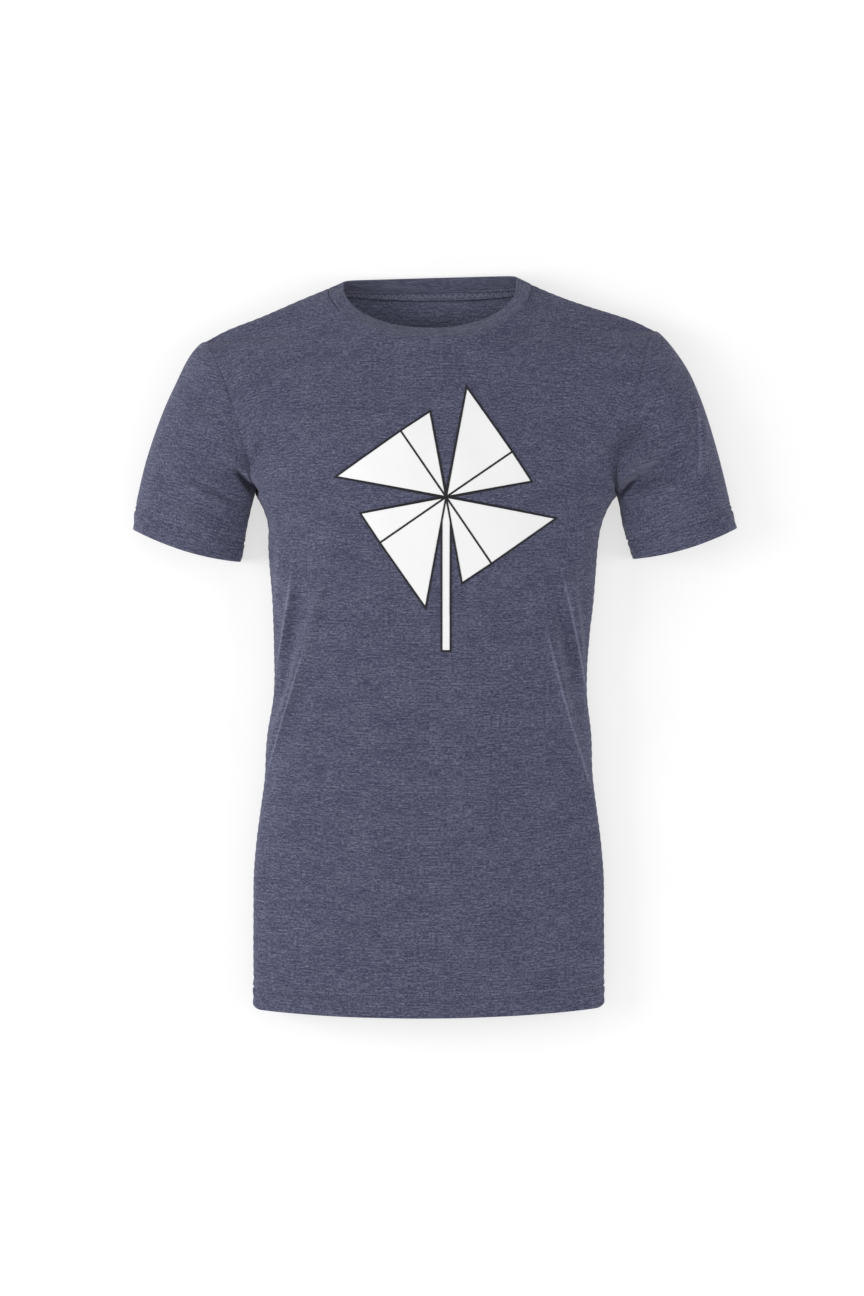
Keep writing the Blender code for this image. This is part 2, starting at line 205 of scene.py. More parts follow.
def hem_level(u):
    """Lower edge of a panel, u from -1 to 1 across it."""
    corner = clamp((np.abs(u) - HEM_CORNER_SHARE) / (1 - HEM_CORNER_SHARE))
    return HEM_Y + HEM_MIDDLE_RISE + HEM_END_RISE * u * u + HEM_CORNER_RISE * (1 - np.sqrt(1 - corner ** 2))


def shoulder_level(x):
    """Shoulder line, carried on over the neck."""
    out = (np.abs(x) - NECK_HALF) / (SHOULDER_HALF - NECK_HALF)
    return NECK_POINT_Y - SHOULDER_DROP * out + SHOULDER_ROUND * np.sin(pi * clamp(out) ** 3)


def neck_dip(u, drop):
    """How far the neckline lies below the neck points."""
    return drop * np.sqrt(np.maximum(1 - (u / NECK_SHARE) ** 2, 0.0))


def top_line(u):
    """The shoulder line, and level across the neck."""
    return np.where(np.abs(u) <= NECK_SHARE, NECK_POINT_Y, shoulder_level(u * SHOULDER_HALF))


print("half width at the waist", round(float(body_half(ARMPIT_Y - WAIST_BELOW_ARMPIT)), 4))

# %% [markdown]
# ## How high the cloth stands
#
# The shirt lies filled out, as if a body had just left it. The front is a long low crown that comes down in a
# quarter circle at the sides and the shoulders. The back is flat on the table and rolls up only at its edges,
# where the seams hold it.

# %% Heights of the front and the back


def loft(y):
    """Height of the front's crown at a level."""
    to_waist = (y - HEM_Y) / (ARMPIT_Y - WAIST_BELOW_ARMPIT - HEM_Y)
    to_chest = (y - ARMPIT_Y + WAIST_BELOW_ARMPIT) / (WAIST_BELOW_ARMPIT + ARMHOLE_DEPTH / 4)
    to_neck = (y - ARMPIT_Y - ARMHOLE_DEPTH / 4) / (ARMHOLE_DEPTH * 3 / 4)
    rise = mix(HEM_LOFT, WAIST_LOFT, ease(to_waist))
    rise = mix(rise, CHEST_LOFT, ease(to_chest))
    return mix(rise, NECK_LOFT, ease(to_neck))


def upper_ring(share, cap_loft):
    """Height of the upper half of a sleeve's ring."""
    return SEAM_HEIGHT + cap_loft * swell(share) ** RING_POWER


def lower_ring(share, rise):
    """Height of the lower half of a sleeve's ring."""
    return SEAM_HEIGHT * mix((1 - swell(share)) ** UNDER_RING_POWER, 1.0, rise)


def back_roll(x, y):
    """How far the back has rolled up to the shoulder seam."""
    return 1 - round_up((shoulder_level(x) - y) / BACK_SHOULDER_ROLL)


def front_height(u, y):
    """Height of the front panel's outer face."""
    share = armhole_share(y)
    edge = upper_ring(share, SLEEVE_CAP_LOFT) + SEAM_PART / 2
    fullness = mix(0.5, 1.0, swell(share))
    across = np.maximum(1 - np.abs(u) ** CROWN_POWER, 0.0) ** fullness
    down = (shoulder_level(u * body_half(y)) - y) / FRONT_SHOULDER_ROLL
    return mix(edge, np.maximum(loft(y), edge), across * round_up(down) ** SHOULDER_POWER)


def back_height(u, y):
    """Height of the back panel's outer face."""
    out = clamp((np.abs(u) - BACK_FLAT_SHARE) / (1 - BACK_FLAT_SHARE))
    side = 1 - np.sqrt(1 - out * out)
    edge = lower_ring(armhole_share(y), 0.0) * side
    height = mix(edge, SEAM_HEIGHT, back_roll(u * body_half(y), y))
    return height * (SEAM_HEIGHT - SEAM_PART / 2) / SEAM_HEIGHT


print("crown of the chest", round(float(front_height(0.0, 0.12)), 4))

# %% [markdown]
# ## How this shirt happens to lie
#
# A pattern is symmetric, but a shirt that was laid down by hand never is. In the photograph the left
# shoulder, at the right of the picture, sits a few millimetres higher, and the hem has slipped a little to
# the other side. One smooth shift, the same for every piece, gives that without opening a seam.

# %% The lie of the shirt
LEFT_SHOULDER_UP = 0.0068
RIGHT_SHOULDER_DOWN = 0.0040
UPPER_SHIFT = 0.0030
RIBS_SHIFT = 0.0025
COLLAR_TILT = 0.028
HEM_SHIFT = -0.0013
HEM_TILT = 0.005
LEFT_SLEEVE_DRAG = (0.0034, -0.0010)
RIGHT_SLEEVE_DRAG = (0.0036, -0.0040)

# Each pull at an armpit: its middle, its shift and its reach
ARMPIT_PULLS = (
    ((0.1840, 0.1480), (0.0046, 0.0045), 0.022),
    ((-0.1600, 0.1280), (0.0035, 0.0000), 0.019),
    ((-0.1780, 0.1480), (0.0005, 0.0045), 0.016),
)


def settle(points):
    """Shift points the way that the whole shirt has settled."""
    x, y = points[..., 0], points[..., 1]
    out = np.abs(x)
    moved = points.copy()

    # The shoulders and the collar lean
    lean = np.where(x > 0, LEFT_SHOULDER_UP * clamp((out - 0.105) / 0.120),
                    -RIGHT_SHOULDER_DOWN * clamp((out - 0.100) / 0.080))
    moved[..., 1] += lean * ease((y - 0.17) / 0.12)
    moved[..., 1] += COLLAR_TILT * np.clip(x, -0.1, 0.1) * ease((y - 0.350) / 0.025)

    # The chest and the ribs slide one way, the hem slides the other way and tilts
    upper = ease((y - 0.02) / 0.12) * (1 - ease((y - 0.265) / 0.045))
    moved[..., 0] += UPPER_SHIFT * upper * mix(0.4, 1.0, ease((out - 0.1) / 0.1))
    moved[..., 0] += RIBS_SHIFT * bell(y - 0.045, 0.060) * ease((out - 0.06) / 0.08)
    moved[..., 0] += HEM_SHIFT * ease((-0.02 - y) / 0.12)
    moved[..., 1] += HEM_TILT * x * ease((-0.25 - y) / 0.08)

    # Each sleeve drags at its underarm, and the armpits are pulled in
    underarm = ease((out - 0.180) / 0.018) * ease((0.150 - y) / 0.055)
    for axis in (0, 1):
        drag = np.where(x > 0, LEFT_SLEEVE_DRAG[axis], RIGHT_SLEEVE_DRAG[axis])
        moved[..., axis] += drag * underarm
        for middle, pull, reach in ARMPIT_PULLS:
            moved[..., axis] += pull[axis] * bell(np.hypot(x - middle[0], y - middle[1]), reach)
    return moved


print("a shoulder tip moves by", np.round(settle(np.array([SHOULDER_HALF, TIP_Y, 0.0]))
                                         - np.array([SHOULDER_HALF, TIP_Y, 0.0]), 4))

# %% [markdown]
# ## Turning a grid into cloth
#
# Every sheet is made the same way: a table of points, rows by columns, becomes a mesh of four-sided faces.
# Its UV map is in real metres along the cloth, so that the knit in the material has its true size and bends
# with the folds. Solidify then gives the sheet its 0.6 mm wall, inward, and is applied. It also marks the
# inner faces, so that they can take a paler copy of the knit, which is painted light that lifts the shade
# inside the shirt.

# %% Grid to cloth


def lengths(points, axis):
    """Distance travelled along the rows or columns of a grid."""
    steps = np.linalg.norm(np.diff(points, axis=axis), axis=-1)
    start = np.zeros_like(np.take(steps, [0], axis=axis))
    return np.cumsum(np.concatenate([start, steps], axis=axis), axis=axis)


def unit(vectors):
    """Vectors of length 1."""
    return vectors / np.maximum(np.linalg.norm(vectors, axis=-1, keepdims=True), 1e-12)


def grid_faces(rows, columns, looped):
    """Corners of each face, and the corner's place in a grid that isn't joined up."""
    row, column = np.meshgrid(np.arange(rows - 1), np.arange(columns - (not looped)), indexing="ij")
    row, column = row.ravel(), column.ravel()
    corner_rows = np.stack([row, row, row + 1, row + 1], axis=1)
    corner_columns = np.stack([column, column + 1, column + 1, column], axis=1)
    return corner_rows * columns + corner_columns % columns, corner_rows, corner_columns


def cloth_object(name, points, outward, cloth_map, looped=False):
    """A mesh object from a grid of points, with faces that look outward and a UV map in metres."""
    rows, columns = points.shape[:2]
    faces, corner_rows, corner_columns = grid_faces(rows, columns, looped)
    flat = settle(points).reshape(-1, 3)
    ahead = np.cross(flat[faces[:, 1]] - flat[faces[:, 0]], flat[faces[:, 3]] - flat[faces[:, 0]])
    if np.sum(ahead * outward.reshape(-1, 3)[faces[:, 0]]) < 0:
        faces, corner_rows, corner_columns = faces[:, ::-1], corner_rows[:, ::-1], corner_columns[:, ::-1]
    mesh = bpy.data.meshes.new(name)
    mesh.from_pydata(flat.tolist(), [], faces.tolist())
    layer = mesh.uv_layers.new(name="cloth")
    places = cloth_map[corner_rows.ravel(), corner_columns.ravel()]
    layer.data.foreach_set("uv", places.astype(np.float32).ravel())
    mesh.shade_smooth()
    for _ in range(2):
        mesh.materials.append(None)
    made = bpy.data.objects.new(name, mesh)
    bpy.context.scene.collection.objects.link(made)
    return made


def use(thing):
    """Make one object the selected and active one."""
    bpy.ops.object.select_all(action="DESELECT")
    thing.select_set(True)
    bpy.context.view_layer.objects.active = thing


def thicken(thing, wall):
    """Give a sheet its wall, inward. Its inner faces take the second material, which for cloth is a paler
    copy of the knit: painted light for the shaded inside.
    """
    use(thing)
    shell = thing.modifiers.new("wall", "SOLIDIFY")
    shell.thickness = wall
    shell.offset = -1.0
    shell.material_offset = 1
    bpy.ops.object.modifier_apply(modifier=shell.name)
    print(thing.name, len(thing.data.polygons) * 2, "triangles")
    return thing


print("faces of a looped grid of 3 by 4:", len(grid_faces(3, 4, True)[0]))

# %% [markdown]
# ## Relief: seams, hems and soft folds
#
# The plain surface is only the start. A seam pulls both edges down into a narrow groove, and its allowance
# makes a faint ridge beside it. A hem is two layers, so it stands a little proud, and its stitches pucker it.
# A fold is a long ridge or valley that fades at both ends. All of these are heights, added along the normal
# of the cloth, so they can be mixed freely.

# %% Sizes of the relief
SEAM_DIP = 0.0008
SEAM_DIP_WIDTH = 0.0013
ARMHOLE_DIP = 0.00012
ARMPIT_DIP = 0.0042
ARMPIT_DIP_WIDTH = 0.0060
ARMPIT_SHARE = 0.17
ALLOWANCE_RISE = 0.0002
ALLOWANCE_START = 0.0012
ALLOWANCE_END = 0.0062
PUCKER = 0.00022
PUCKER_PITCH = 0.0092
HEM_ROLL = 0.00075
HEM_TURN = 0.0245
HEM_PROUD = 0.0005
HEM_PUCKER = 0.00028
HEM_PUCKER_CHANGE = 0.00016
HEM_PUCKER_PITCH = 0.0105
HEM_PUCKER_SLANT = 0.55
HEM_ZONE = 0.028

# Both rows of stitches: level above the hem's fold, and depth and width of the groove
STITCH_LOW = 0.0185
STITCH_HIGH = 0.0235
NEEDLE_GROOVES = ((STITCH_LOW, 0.0013, 0.0013), (STITCH_HIGH, 0.0007, 0.0011))

# Lengths over which relief fades: to a sewn edge, to an armhole, to the end of a seam
EDGE_FADE = 0.006
ARMHOLE_FADE = 0.007
SLEEVE_TOP_FADE = 0.012
SEAM_END_FADE = 0.004
FOLD_END_FADE = 0.030
FOLD_SPREAD = 0.020

# Steps along a fold's path, how far from its middle a fold can reach, and the waves of a ripple
FOLD_STEPS = 33
FOLD_REACH = 0.2
RIPPLE_WAVES = 14
RIPPLE_LENGTHS = (0.035, 0.120)
RIPPLE_TOTAL = 0.28


print("hem stitches run", STITCH_LOW, "and", STITCH_HIGH, "m above the fold")

# %% Seams and hems


def seam_relief(away, along, depth=SEAM_DIP, pucker=PUCKER):
    """Dip, allowance ridge and puckers beside a sewn edge. Slow waves keep the puckers from repeating."""
    dip = -depth * bell(away, SEAM_DIP_WIDTH)
    ridge = ease((away - ALLOWANCE_START) / 0.0015) - ease((away - ALLOWANCE_END) / 0.0018)
    ridge = ALLOWANCE_RISE * ridge
    wander = np.sin(along / 0.031) * 1.4 + np.sin(along / 0.0127 + 1.0)
    waves = pucker * np.sin(2 * pi * along / PUCKER_PITCH + wander) * bell(away - 0.003, 0.004)
    return dip + ridge + waves


def armpit_relief(away, share):
    """The deep crease in which sleeve and body meet at the armpit, by distance from the seam."""
    fade = (1 - ease(share / ARMPIT_SHARE)) * ease(share / 0.012)
    return -ARMPIT_DIP * bell(away, ARMPIT_DIP_WIDTH) * fade


def hem_relief(up, along):
    """Double layer, needle grooves and slanted puckers of a hem, by distance up from its fold."""
    band = HEM_PROUD * (1 - ease((up - HEM_TURN) / 0.0016))
    grooves = -sum(depth * bell(up - level, width) for level, depth, width in NEEDLE_GROOVES)
    slant = along + HEM_PUCKER_SLANT * up
    wander = np.sin(slant / 0.043) * 1.7 + np.sin(slant / 0.017 + 2.0) * 0.9
    strength = HEM_PUCKER + HEM_PUCKER_CHANGE * np.sin(slant / 0.071)
    pucker = strength * np.sin(2 * pi * slant / HEM_PUCKER_PITCH + wander) * ease(up / 0.006)
    return band + grooves + pucker * (1 - ease((up - HEM_TURN) / 0.010))


print("a hem stands proud by", round(float(hem_relief(0.010, 0.0)), 5))

# %% Soft folds and ripples


def fold_relief(x, y, folds):
    """Height of soft folds, each drawn as a path, a height, a half width and a valley beside it."""
    rise = np.zeros_like(x)
    for path, height, half_width, beside in folds:
        knots = np.linspace(0.0, 1.0, len(path))
        steps = np.linspace(0.0, 1.0, FOLD_STEPS)
        line_x = np.interp(steps, knots, [p[0] for p in path])
        line_y = np.interp(steps, knots, [p[1] for p in path])
        for _ in range(3):
            line_x[1:-1] = (line_x[:-2] + 2 * line_x[1:-1] + line_x[2:]) / 4
            line_y[1:-1] = (line_y[:-2] + 2 * line_y[1:-1] + line_y[2:]) / 4
        near = (np.abs(x - line_x.mean()) < FOLD_REACH) & (np.abs(y - line_y.mean()) < FOLD_REACH)
        at_x, at_y = x[near], y[near]
        best = np.full(at_x.shape, np.inf)
        along = np.zeros(at_x.shape)
        off = np.zeros(at_x.shape)
        for i in range(len(steps) - 1):
            run_x, run_y = line_x[i + 1] - line_x[i], line_y[i + 1] - line_y[i]
            length = hypot(run_x, run_y)
            away_x, away_y = at_x - line_x[i], at_y - line_y[i]
            share = clamp((away_x * run_x + away_y * run_y) / length ** 2)
            distance = np.hypot(away_x - share * run_x, away_y - share * run_y)
            side = np.sign(away_x * run_y - away_y * run_x)
            closer = distance < best
            best = np.where(closer, distance, best)
            off = np.where(closer, distance * side, off)
            along = np.where(closer, (i + share) / (len(steps) - 1), along)
        shape = bell(off, half_width) - beside * bell(off - 1.7 * half_width, half_width)
        rise[near] += height * np.sin(pi * along) ** 1.2 * shape
    return rise


def ripples(x, y, seed, size):
    """Broad, faint unevenness of soft cloth: a few slow waves in random directions."""
    draw = np.random.default_rng(seed)
    rise = np.zeros_like(x)
    for _ in range(RIPPLE_WAVES):
        turn = draw.uniform(0, 2 * pi)
        wave = draw.uniform(*RIPPLE_LENGTHS)
        rise += np.sin((x * cos(turn) + y * sin(turn)) * 2 * pi / wave + draw.uniform(0, 2 * pi)) * wave
    return rise * size / RIPPLE_TOTAL


print("ripples at the middle", round(float(ripples(np.zeros(1), np.zeros(1), 11, 0.00055)[0]), 5))

# %% [markdown]
# ## Laying out a body panel
#
# A panel's grid needs fine rows where something small happens, at the hem and beside the seams, and wider
# ones elsewhere. So its rows are listed, and its columns are spread by true distance along the cloth,
# with one column held at each neck point to keep that corner crisp. The hem rows go up the inside first, then
# round the fold, then up the outside.

# %% Rows of a hem
EDGE_STEPS = np.array([0.0, 0.0004, 0.0009, 0.0015, 0.0022, 0.0031, 0.0042, 0.0056, 0.0075])
TOP_STEPS = np.array([0.0, 0.00006, 0.00015, 0.0003, 0.0006, 0.0011, 0.0018, 0.0028, 0.004, 0.0055, 0.0075])
TURN_IN = 0.003
NECK_COLUMNS = 44
SIDE_COLUMNS = 50
HEM_INSIDE_ROWS = (0.0248, 0.0242, 0.020, 0.015, 0.010, 0.005, 0.002)
HEM_FOLD_STEPS = 6
HEM_OUTSIDE_START = 0.0017
HEM_OUTSIDE_STEP = 0.0011
FRONT_SPACING = 0.0029
BACK_SPACING = 0.0042


def hem_rows():
    """Distance up from the fold, and depth inside the outer face, of each row of a hem."""
    inside = [(up, 2 * HEM_ROLL) for up in HEM_INSIDE_ROWS]
    turns = [pi * step / HEM_FOLD_STEPS for step in range(HEM_FOLD_STEPS, -1, -1)]
    fold = [(HEM_ROLL * (1 - sin(turn)), HEM_ROLL * (1 - cos(turn))) for turn in turns]
    outside = [(up, 0.0) for up in np.arange(HEM_OUTSIDE_START, HEM_ZONE - 0.0005, HEM_OUTSIDE_STEP)]
    return inside + fold + outside


def stitch_lines(points, outward, up, depth):
    """The two rows of a grid that the hem's stitches follow, on its outer face."""
    lines = []
    for level in (STITCH_LOW, STITCH_HIGH):
        row = int(np.argmin(np.abs(up[:, 0] - level) + (depth[:, 0] > 0)))
        lines.append((points[row], outward[row]))
    return lines


print("a hem has", len(hem_rows()), "rows")

# %% Rows and columns of a panel


def spread_columns(level):
    """Places across one row, even in distance along the cloth and closer at the side seams."""
    middle = NECK_SHARE * np.sin(np.linspace(-pi / 2, pi / 2, 601))
    side = NECK_SHARE + (1 - NECK_SHARE) * np.sin(np.linspace(0, pi / 2, 501))
    found = []
    for shares in (middle, side):
        run = lengths(level(shares), 0)
        if shares is middle:
            wanted = np.linspace(0, run[-1], NECK_COLUMNS + 1)
        else:
            inner = np.linspace(0, run[-1] - EDGE_STEPS[-1], SIDE_COLUMNS + 1)[1:-1]
            wanted = np.concatenate([inner, run[-1] - EDGE_STEPS[::-1]])
        found.append(np.interp(wanted, run, shares))
    return np.concatenate([-found[1][::-1], found[0], found[1]])


def panel_rows(height, neck_drop, spacing):
    """Grid of places u and levels y of a panel, with each row's depth and distance up from the hem."""
    span = NECK_POINT_Y - HEM_Y - HEM_ZONE
    plain = np.linspace(0.0, 1 - TOP_STEPS[-1] / span, int(span / spacing))
    levels = np.concatenate([plain[:-1], 1 - TOP_STEPS[::-1] / span])
    rows = [("hem", up, depth) for up, depth in hem_rows()] + [("body", share, 0.0) for share in levels]
    places, heights_y, depths, ups = [], [], [], []
    for kind, value, depth in rows:

        def level_y(u, kind=kind, value=value):
            if kind == "hem":
                return hem_level(u) + value
            low = hem_level(u) + HEM_ZONE
            return mix(low, top_line(u), value) - neck_dip(u, neck_drop) * value ** 5

        def level(u, level_y=level_y):
            y = level_y(u)
            return np.stack([u * body_half(y), y, height(u, y)], axis=-1)

        u = spread_columns(level)
        places.append(u)
        heights_y.append(level_y(u))
        depths.append(depth)
        ups.append(level_y(u) - hem_level(u))
    return np.array(places), np.array(heights_y), np.array(depths)[:, None], np.array(ups)


print("rows of the front", len(panel_rows(front_height, FRONT_NECK_DROP, FRONT_SPACING)[0]))

# %% Face and edges of a panel


def panel_face(height, u, y):
    """Points of a panel's plain outer face, and its upward normals."""
    step = 1e-4

    def at(u, y):
        return np.stack([u * body_half(y), y, height(u, y)], axis=-1)

    side = np.where(u > 0, -1.0, 1.0)
    points = at(u, y)
    across = (at(u + side * step, y) - points) * side[..., None]
    upward = points - at(u, y - step)
    return points, unit(np.cross(across, upward))


def with_turned_edges(points, outward):
    """Turn the sewn edges in: one more row at the top and one more column at each side."""
    points = np.pad(points, ((0, 1), (1, 1), (0, 0)), mode="edge")
    outward = np.pad(outward, ((0, 1), (1, 1), (0, 0)), mode="edge")
    for edge in (np.s_[-1, :], np.s_[:-1, 0], np.s_[:-1, -1]):
        points[edge] -= outward[edge] * TURN_IN
    return points, outward


def metre_map(points):
    """UV map in metres: from the middle column, and from the first row."""
    across = lengths(points, 1)
    return np.stack([across - across[:, [across.shape[1] // 2]], lengths(points, 0)], axis=-1)


crown = panel_face(front_height, np.zeros(1), np.full(1, ARMPIT_Y))
print("the front faces", np.round(crown[1][0], 2), "at its middle")

# %% [markdown]
# ## Where the sleeve meets the body
#
# A sleeve is drawn by two numbers: how far round the tube, and how far down it. The body's panels need to
# know about it before they are made, because both edges of the armhole seam have to dip in the same
# direction, or a slit would open between them. So the sleeve's surface comes first, with one direction for
# the whole seam.

# %% Sleeve surface
HEM_REACH = sqrt(SLEEVE_OPENING ** 2 - SLEEVE_OPENING_RISE ** 2)
UNDERARM_CORNER = (ARMPIT_HALF + SLEEVE_UNDERARM_OUT,
                   ARMPIT_Y - sqrt(SLEEVE_UNDERARM ** 2 - SLEEVE_UNDERARM_OUT ** 2))
OUTER_RUN = (UNDERARM_CORNER[0] + HEM_REACH - SHOULDER_HALF,
             UNDERARM_CORNER[1] + SLEEVE_OPENING_RISE - TIP_Y)
OUTER_LENGTH = hypot(*OUTER_RUN)


def tube_share(turn):
    """How far up the armhole a place round the sleeve is, from 0 at the underarm to 1 at the shoulder."""
    return (1 - np.cos(2 * pi * turn)) / 2


def sleeve_path(turn):
    """Length of a sleeve from seam to hem, all round it."""
    return mix(SLEEVE_UNDERARM, OUTER_LENGTH, tube_share(turn))


def sleeve_point(turn, down, side):
    """A point of a sleeve, by share of a turn from the underarm and share of the way down."""
    share = tube_share(turn)
    down = mix(SEAM_PART / 2 / sleeve_path(turn), 1.0, down)
    seam_y = ARMPIT_Y + ARMHOLE_DEPTH * share
    straight = mix(ARMPIT_HALF, SHOULDER_HALF, share)
    bulge = SLEEVE_CAP_ROUND * down ** SLEEVE_CAP_POWER * (1 - down) * share
    scoop = (body_half(seam_y) - straight) * (1 - down) ** 2
    bow = SLEEVE_HEM_BOW * down ** 2 * swell(share) ** 2
    run_x = mix(UNDERARM_CORNER[0] - ARMPIT_HALF, OUTER_RUN[0], share)
    run_y = mix(UNDERARM_CORNER[1] - ARMPIT_Y, OUTER_RUN[1], share)
    x = straight + scoop + run_x * down - OUTER_RUN[1] / OUTER_LENGTH * bulge
    y = seam_y + run_y * down + OUTER_RUN[0] / OUTER_LENGTH * bulge
    x = x + bow * SLEEVE_OPENING_RISE / SLEEVE_OPENING
    y = y - bow * HEM_REACH / SLEEVE_OPENING
    roll = back_roll(body_half(seam_y), seam_y) * (1 - ease(down / SLEEVE_ROLL_SHARE))
    upper = upper_ring(share, mix(SLEEVE_CAP_LOFT, SLEEVE_HEM_LOFT, down))
    z = np.where(turn < 0.5, upper, lower_ring(share, roll))
    return np.stack([side * x, y, z], axis=-1)


def sleeve_outward(turn, down, side):
    """Outward direction of a sleeve's plain surface."""
    step = 1e-4
    points = sleeve_point(turn, down, side)
    ahead = np.where(turn < 0.5, step, -step)
    round_tube = (sleeve_point(turn + ahead, down, side) - points) * np.sign(ahead)[..., None]
    down_step = np.where(down > 0.5, -step, step)
    down_tube = (sleeve_point(turn, down + down_step, side) - points) * np.sign(down_step)[..., None]
    return unit(np.cross(down_tube, round_tube)) * side


print("a sleeve is", round(OUTER_LENGTH, 3), "m long at its outer edge")

# %% Direction of the armhole seam


def armhole_outward(share, upper, side):
    """One outward direction for both edges of the armhole seam, by share of the way up it."""
    share = np.clip(share, 0.0005, 0.9995)
    turn = np.arccos(1 - 2 * share) / (2 * pi)
    turn = turn if upper else 1 - turn
    y = ARMPIT_Y + ARMHOLE_DEPTH * share
    height, facing = (front_height, 1.0) if upper else (back_height, -1.0)
    body = panel_face(height, np.full_like(share, side * 1.0), y)[1] * facing
    return unit(body + sleeve_outward(turn, np.full_like(share, 0.02), side))


print("the armhole seam faces", np.round(armhole_outward(np.array([0.5]), True, 1)[0], 2), "half way up")

# %% [markdown]
# ## Folds that cross the armhole
#
# The sleeve pulls on the body at the armpit, so a few folds start on the body and run on over the seam onto
# the sleeve. They are one list, and both pieces read it by place, so a ridge meets itself at the seam. Each
# fold here and below is a path, a height, a half width, and how deep a valley runs beside it.

# %% Armpit folds
ARMPIT_FOLDS = (
    (((0.1600, 0.236), (0.1850, 0.196), (0.1973, 0.2080), (0.2150, 0.2190), (0.2450, 0.2330)),
     -0.0105, 0.0090, 0.0),
    (((0.1740, 0.150), (0.1870, 0.165), (0.2010, 0.1785), (0.2150, 0.1877), (0.2328, 0.2003),
      (0.2560, 0.220)), 0.0120, 0.0055, 0.0),
    (((0.1860, 0.148), (0.1999, 0.1590), (0.2277, 0.1699), (0.2640, 0.1800)), -0.0098, 0.0065, 0.0),
    (((0.1830, 0.148), (0.1862, 0.1528), (0.1953, 0.1639), (0.2095, 0.1730)), -0.0120, 0.0028, 0.0),
    (((-0.1790, 0.148), (-0.1800, 0.1520), (-0.1860, 0.1615), (-0.1922, 0.1715), (-0.2000, 0.1800)),
     -0.0155, 0.0028, 0.0),
    (((-0.1500, 0.150), (-0.1760, 0.168), (-0.1960, 0.1850), (-0.2200, 0.2150)), 0.0040, 0.0085, 0.3),
    (((-0.1640, 0.214), (-0.1740, 0.196), (-0.1880, 0.1780), (-0.2160, 0.1660)), -0.0044, 0.0085, 0.0),
)


def armpit_folds(x, y, share):
    """Height of the folds that cross the armhole, flat where the seam ends."""
    return fold_relief(x, y, ARMPIT_FOLDS) * swell(np.clip(share, 0.0, 0.5)) ** 0.5


print(len(ARMPIT_FOLDS), "folds cross the armholes")

# %% [markdown]
# ## Front panel
#
# On the real shirt this is one piece of jersey from the shoulders to the hem, with the print on its chest.
# Its soft folds follow the photograph: long shallow ones at both sides of the waist, where the cloth narrows,
# and short ones that run from the armpits.

# %% Folds of the front
FRONT_FOLDS = (
    (((-0.1110, 0.092), (-0.1180, 0.040), (-0.1386, -0.0375), (-0.1600, -0.104)), 0.0034, 0.0085, 0.0),
    (((-0.1270, 0.085), (-0.1400, 0.000), (-0.1570, -0.078)), -0.0038, 0.0075, 0.0),
    (((-0.1020, -0.036), (-0.1180, -0.075), (-0.1560, -0.150)), 0.0028, 0.0100, 0.3),
    (((-0.1390, 0.078), (-0.1460, 0.034), (-0.1555, -0.025)), 0.0036, 0.0042, 0.1),
    (((-0.1290, -0.005), (-0.1430, -0.054), (-0.1640, -0.124)), 0.0036, 0.0058, 0.35),
    (((-0.1100, 0.072), (-0.1180, 0.035), (-0.1340, -0.014)), 0.0016, 0.0050, 0.4),
    (((0.1270, 0.103), (0.1330, 0.060), (0.1540, -0.030)), 0.0034, 0.0090, 0.0),
    (((0.1120, 0.038), (0.1240, -0.010), (0.1336, -0.0507), (0.1620, -0.152)), 0.0036, 0.0100, 0.0),
    (((0.1200, 0.090), (0.1265, 0.0475), (0.1386, -0.0122), (0.1520, -0.0700)), -0.0046, 0.0070, 0.0),
    (((0.1480, 0.080), (0.1540, 0.030), (0.1640, -0.030)), -0.0036, 0.0060, 0.0),
    (((0.1280, 0.094), (0.1440, 0.034), (0.1560, -0.030)), 0.0028, 0.0040, 0.5),
    (((0.1120, 0.034), (0.1270, -0.020), (0.1380, -0.068), (0.1640, -0.152)), 0.0030, 0.0042, 0.5),
    (((-0.1760, 0.226), (-0.1800, 0.198), (-0.1960, 0.182)), 0.0020, 0.0050, 0.6),
    (((0.1820, 0.178), (0.1700, 0.150), (0.1560, 0.116)), 0.0022, 0.0070, 0.5),
    (((-0.1820, 0.170), (-0.1680, 0.140), (-0.1520, 0.110)), 0.0020, 0.0070, 0.5),
)


def front_relief(x, y):
    """Folds and ripples of the front, the same for the cloth and for the ink on it."""
    return fold_relief(x, y, FRONT_FOLDS) + ripples(x, y, 11, 0.00055)


print(len(FRONT_FOLDS), "folds on the front")

# %% Front panel


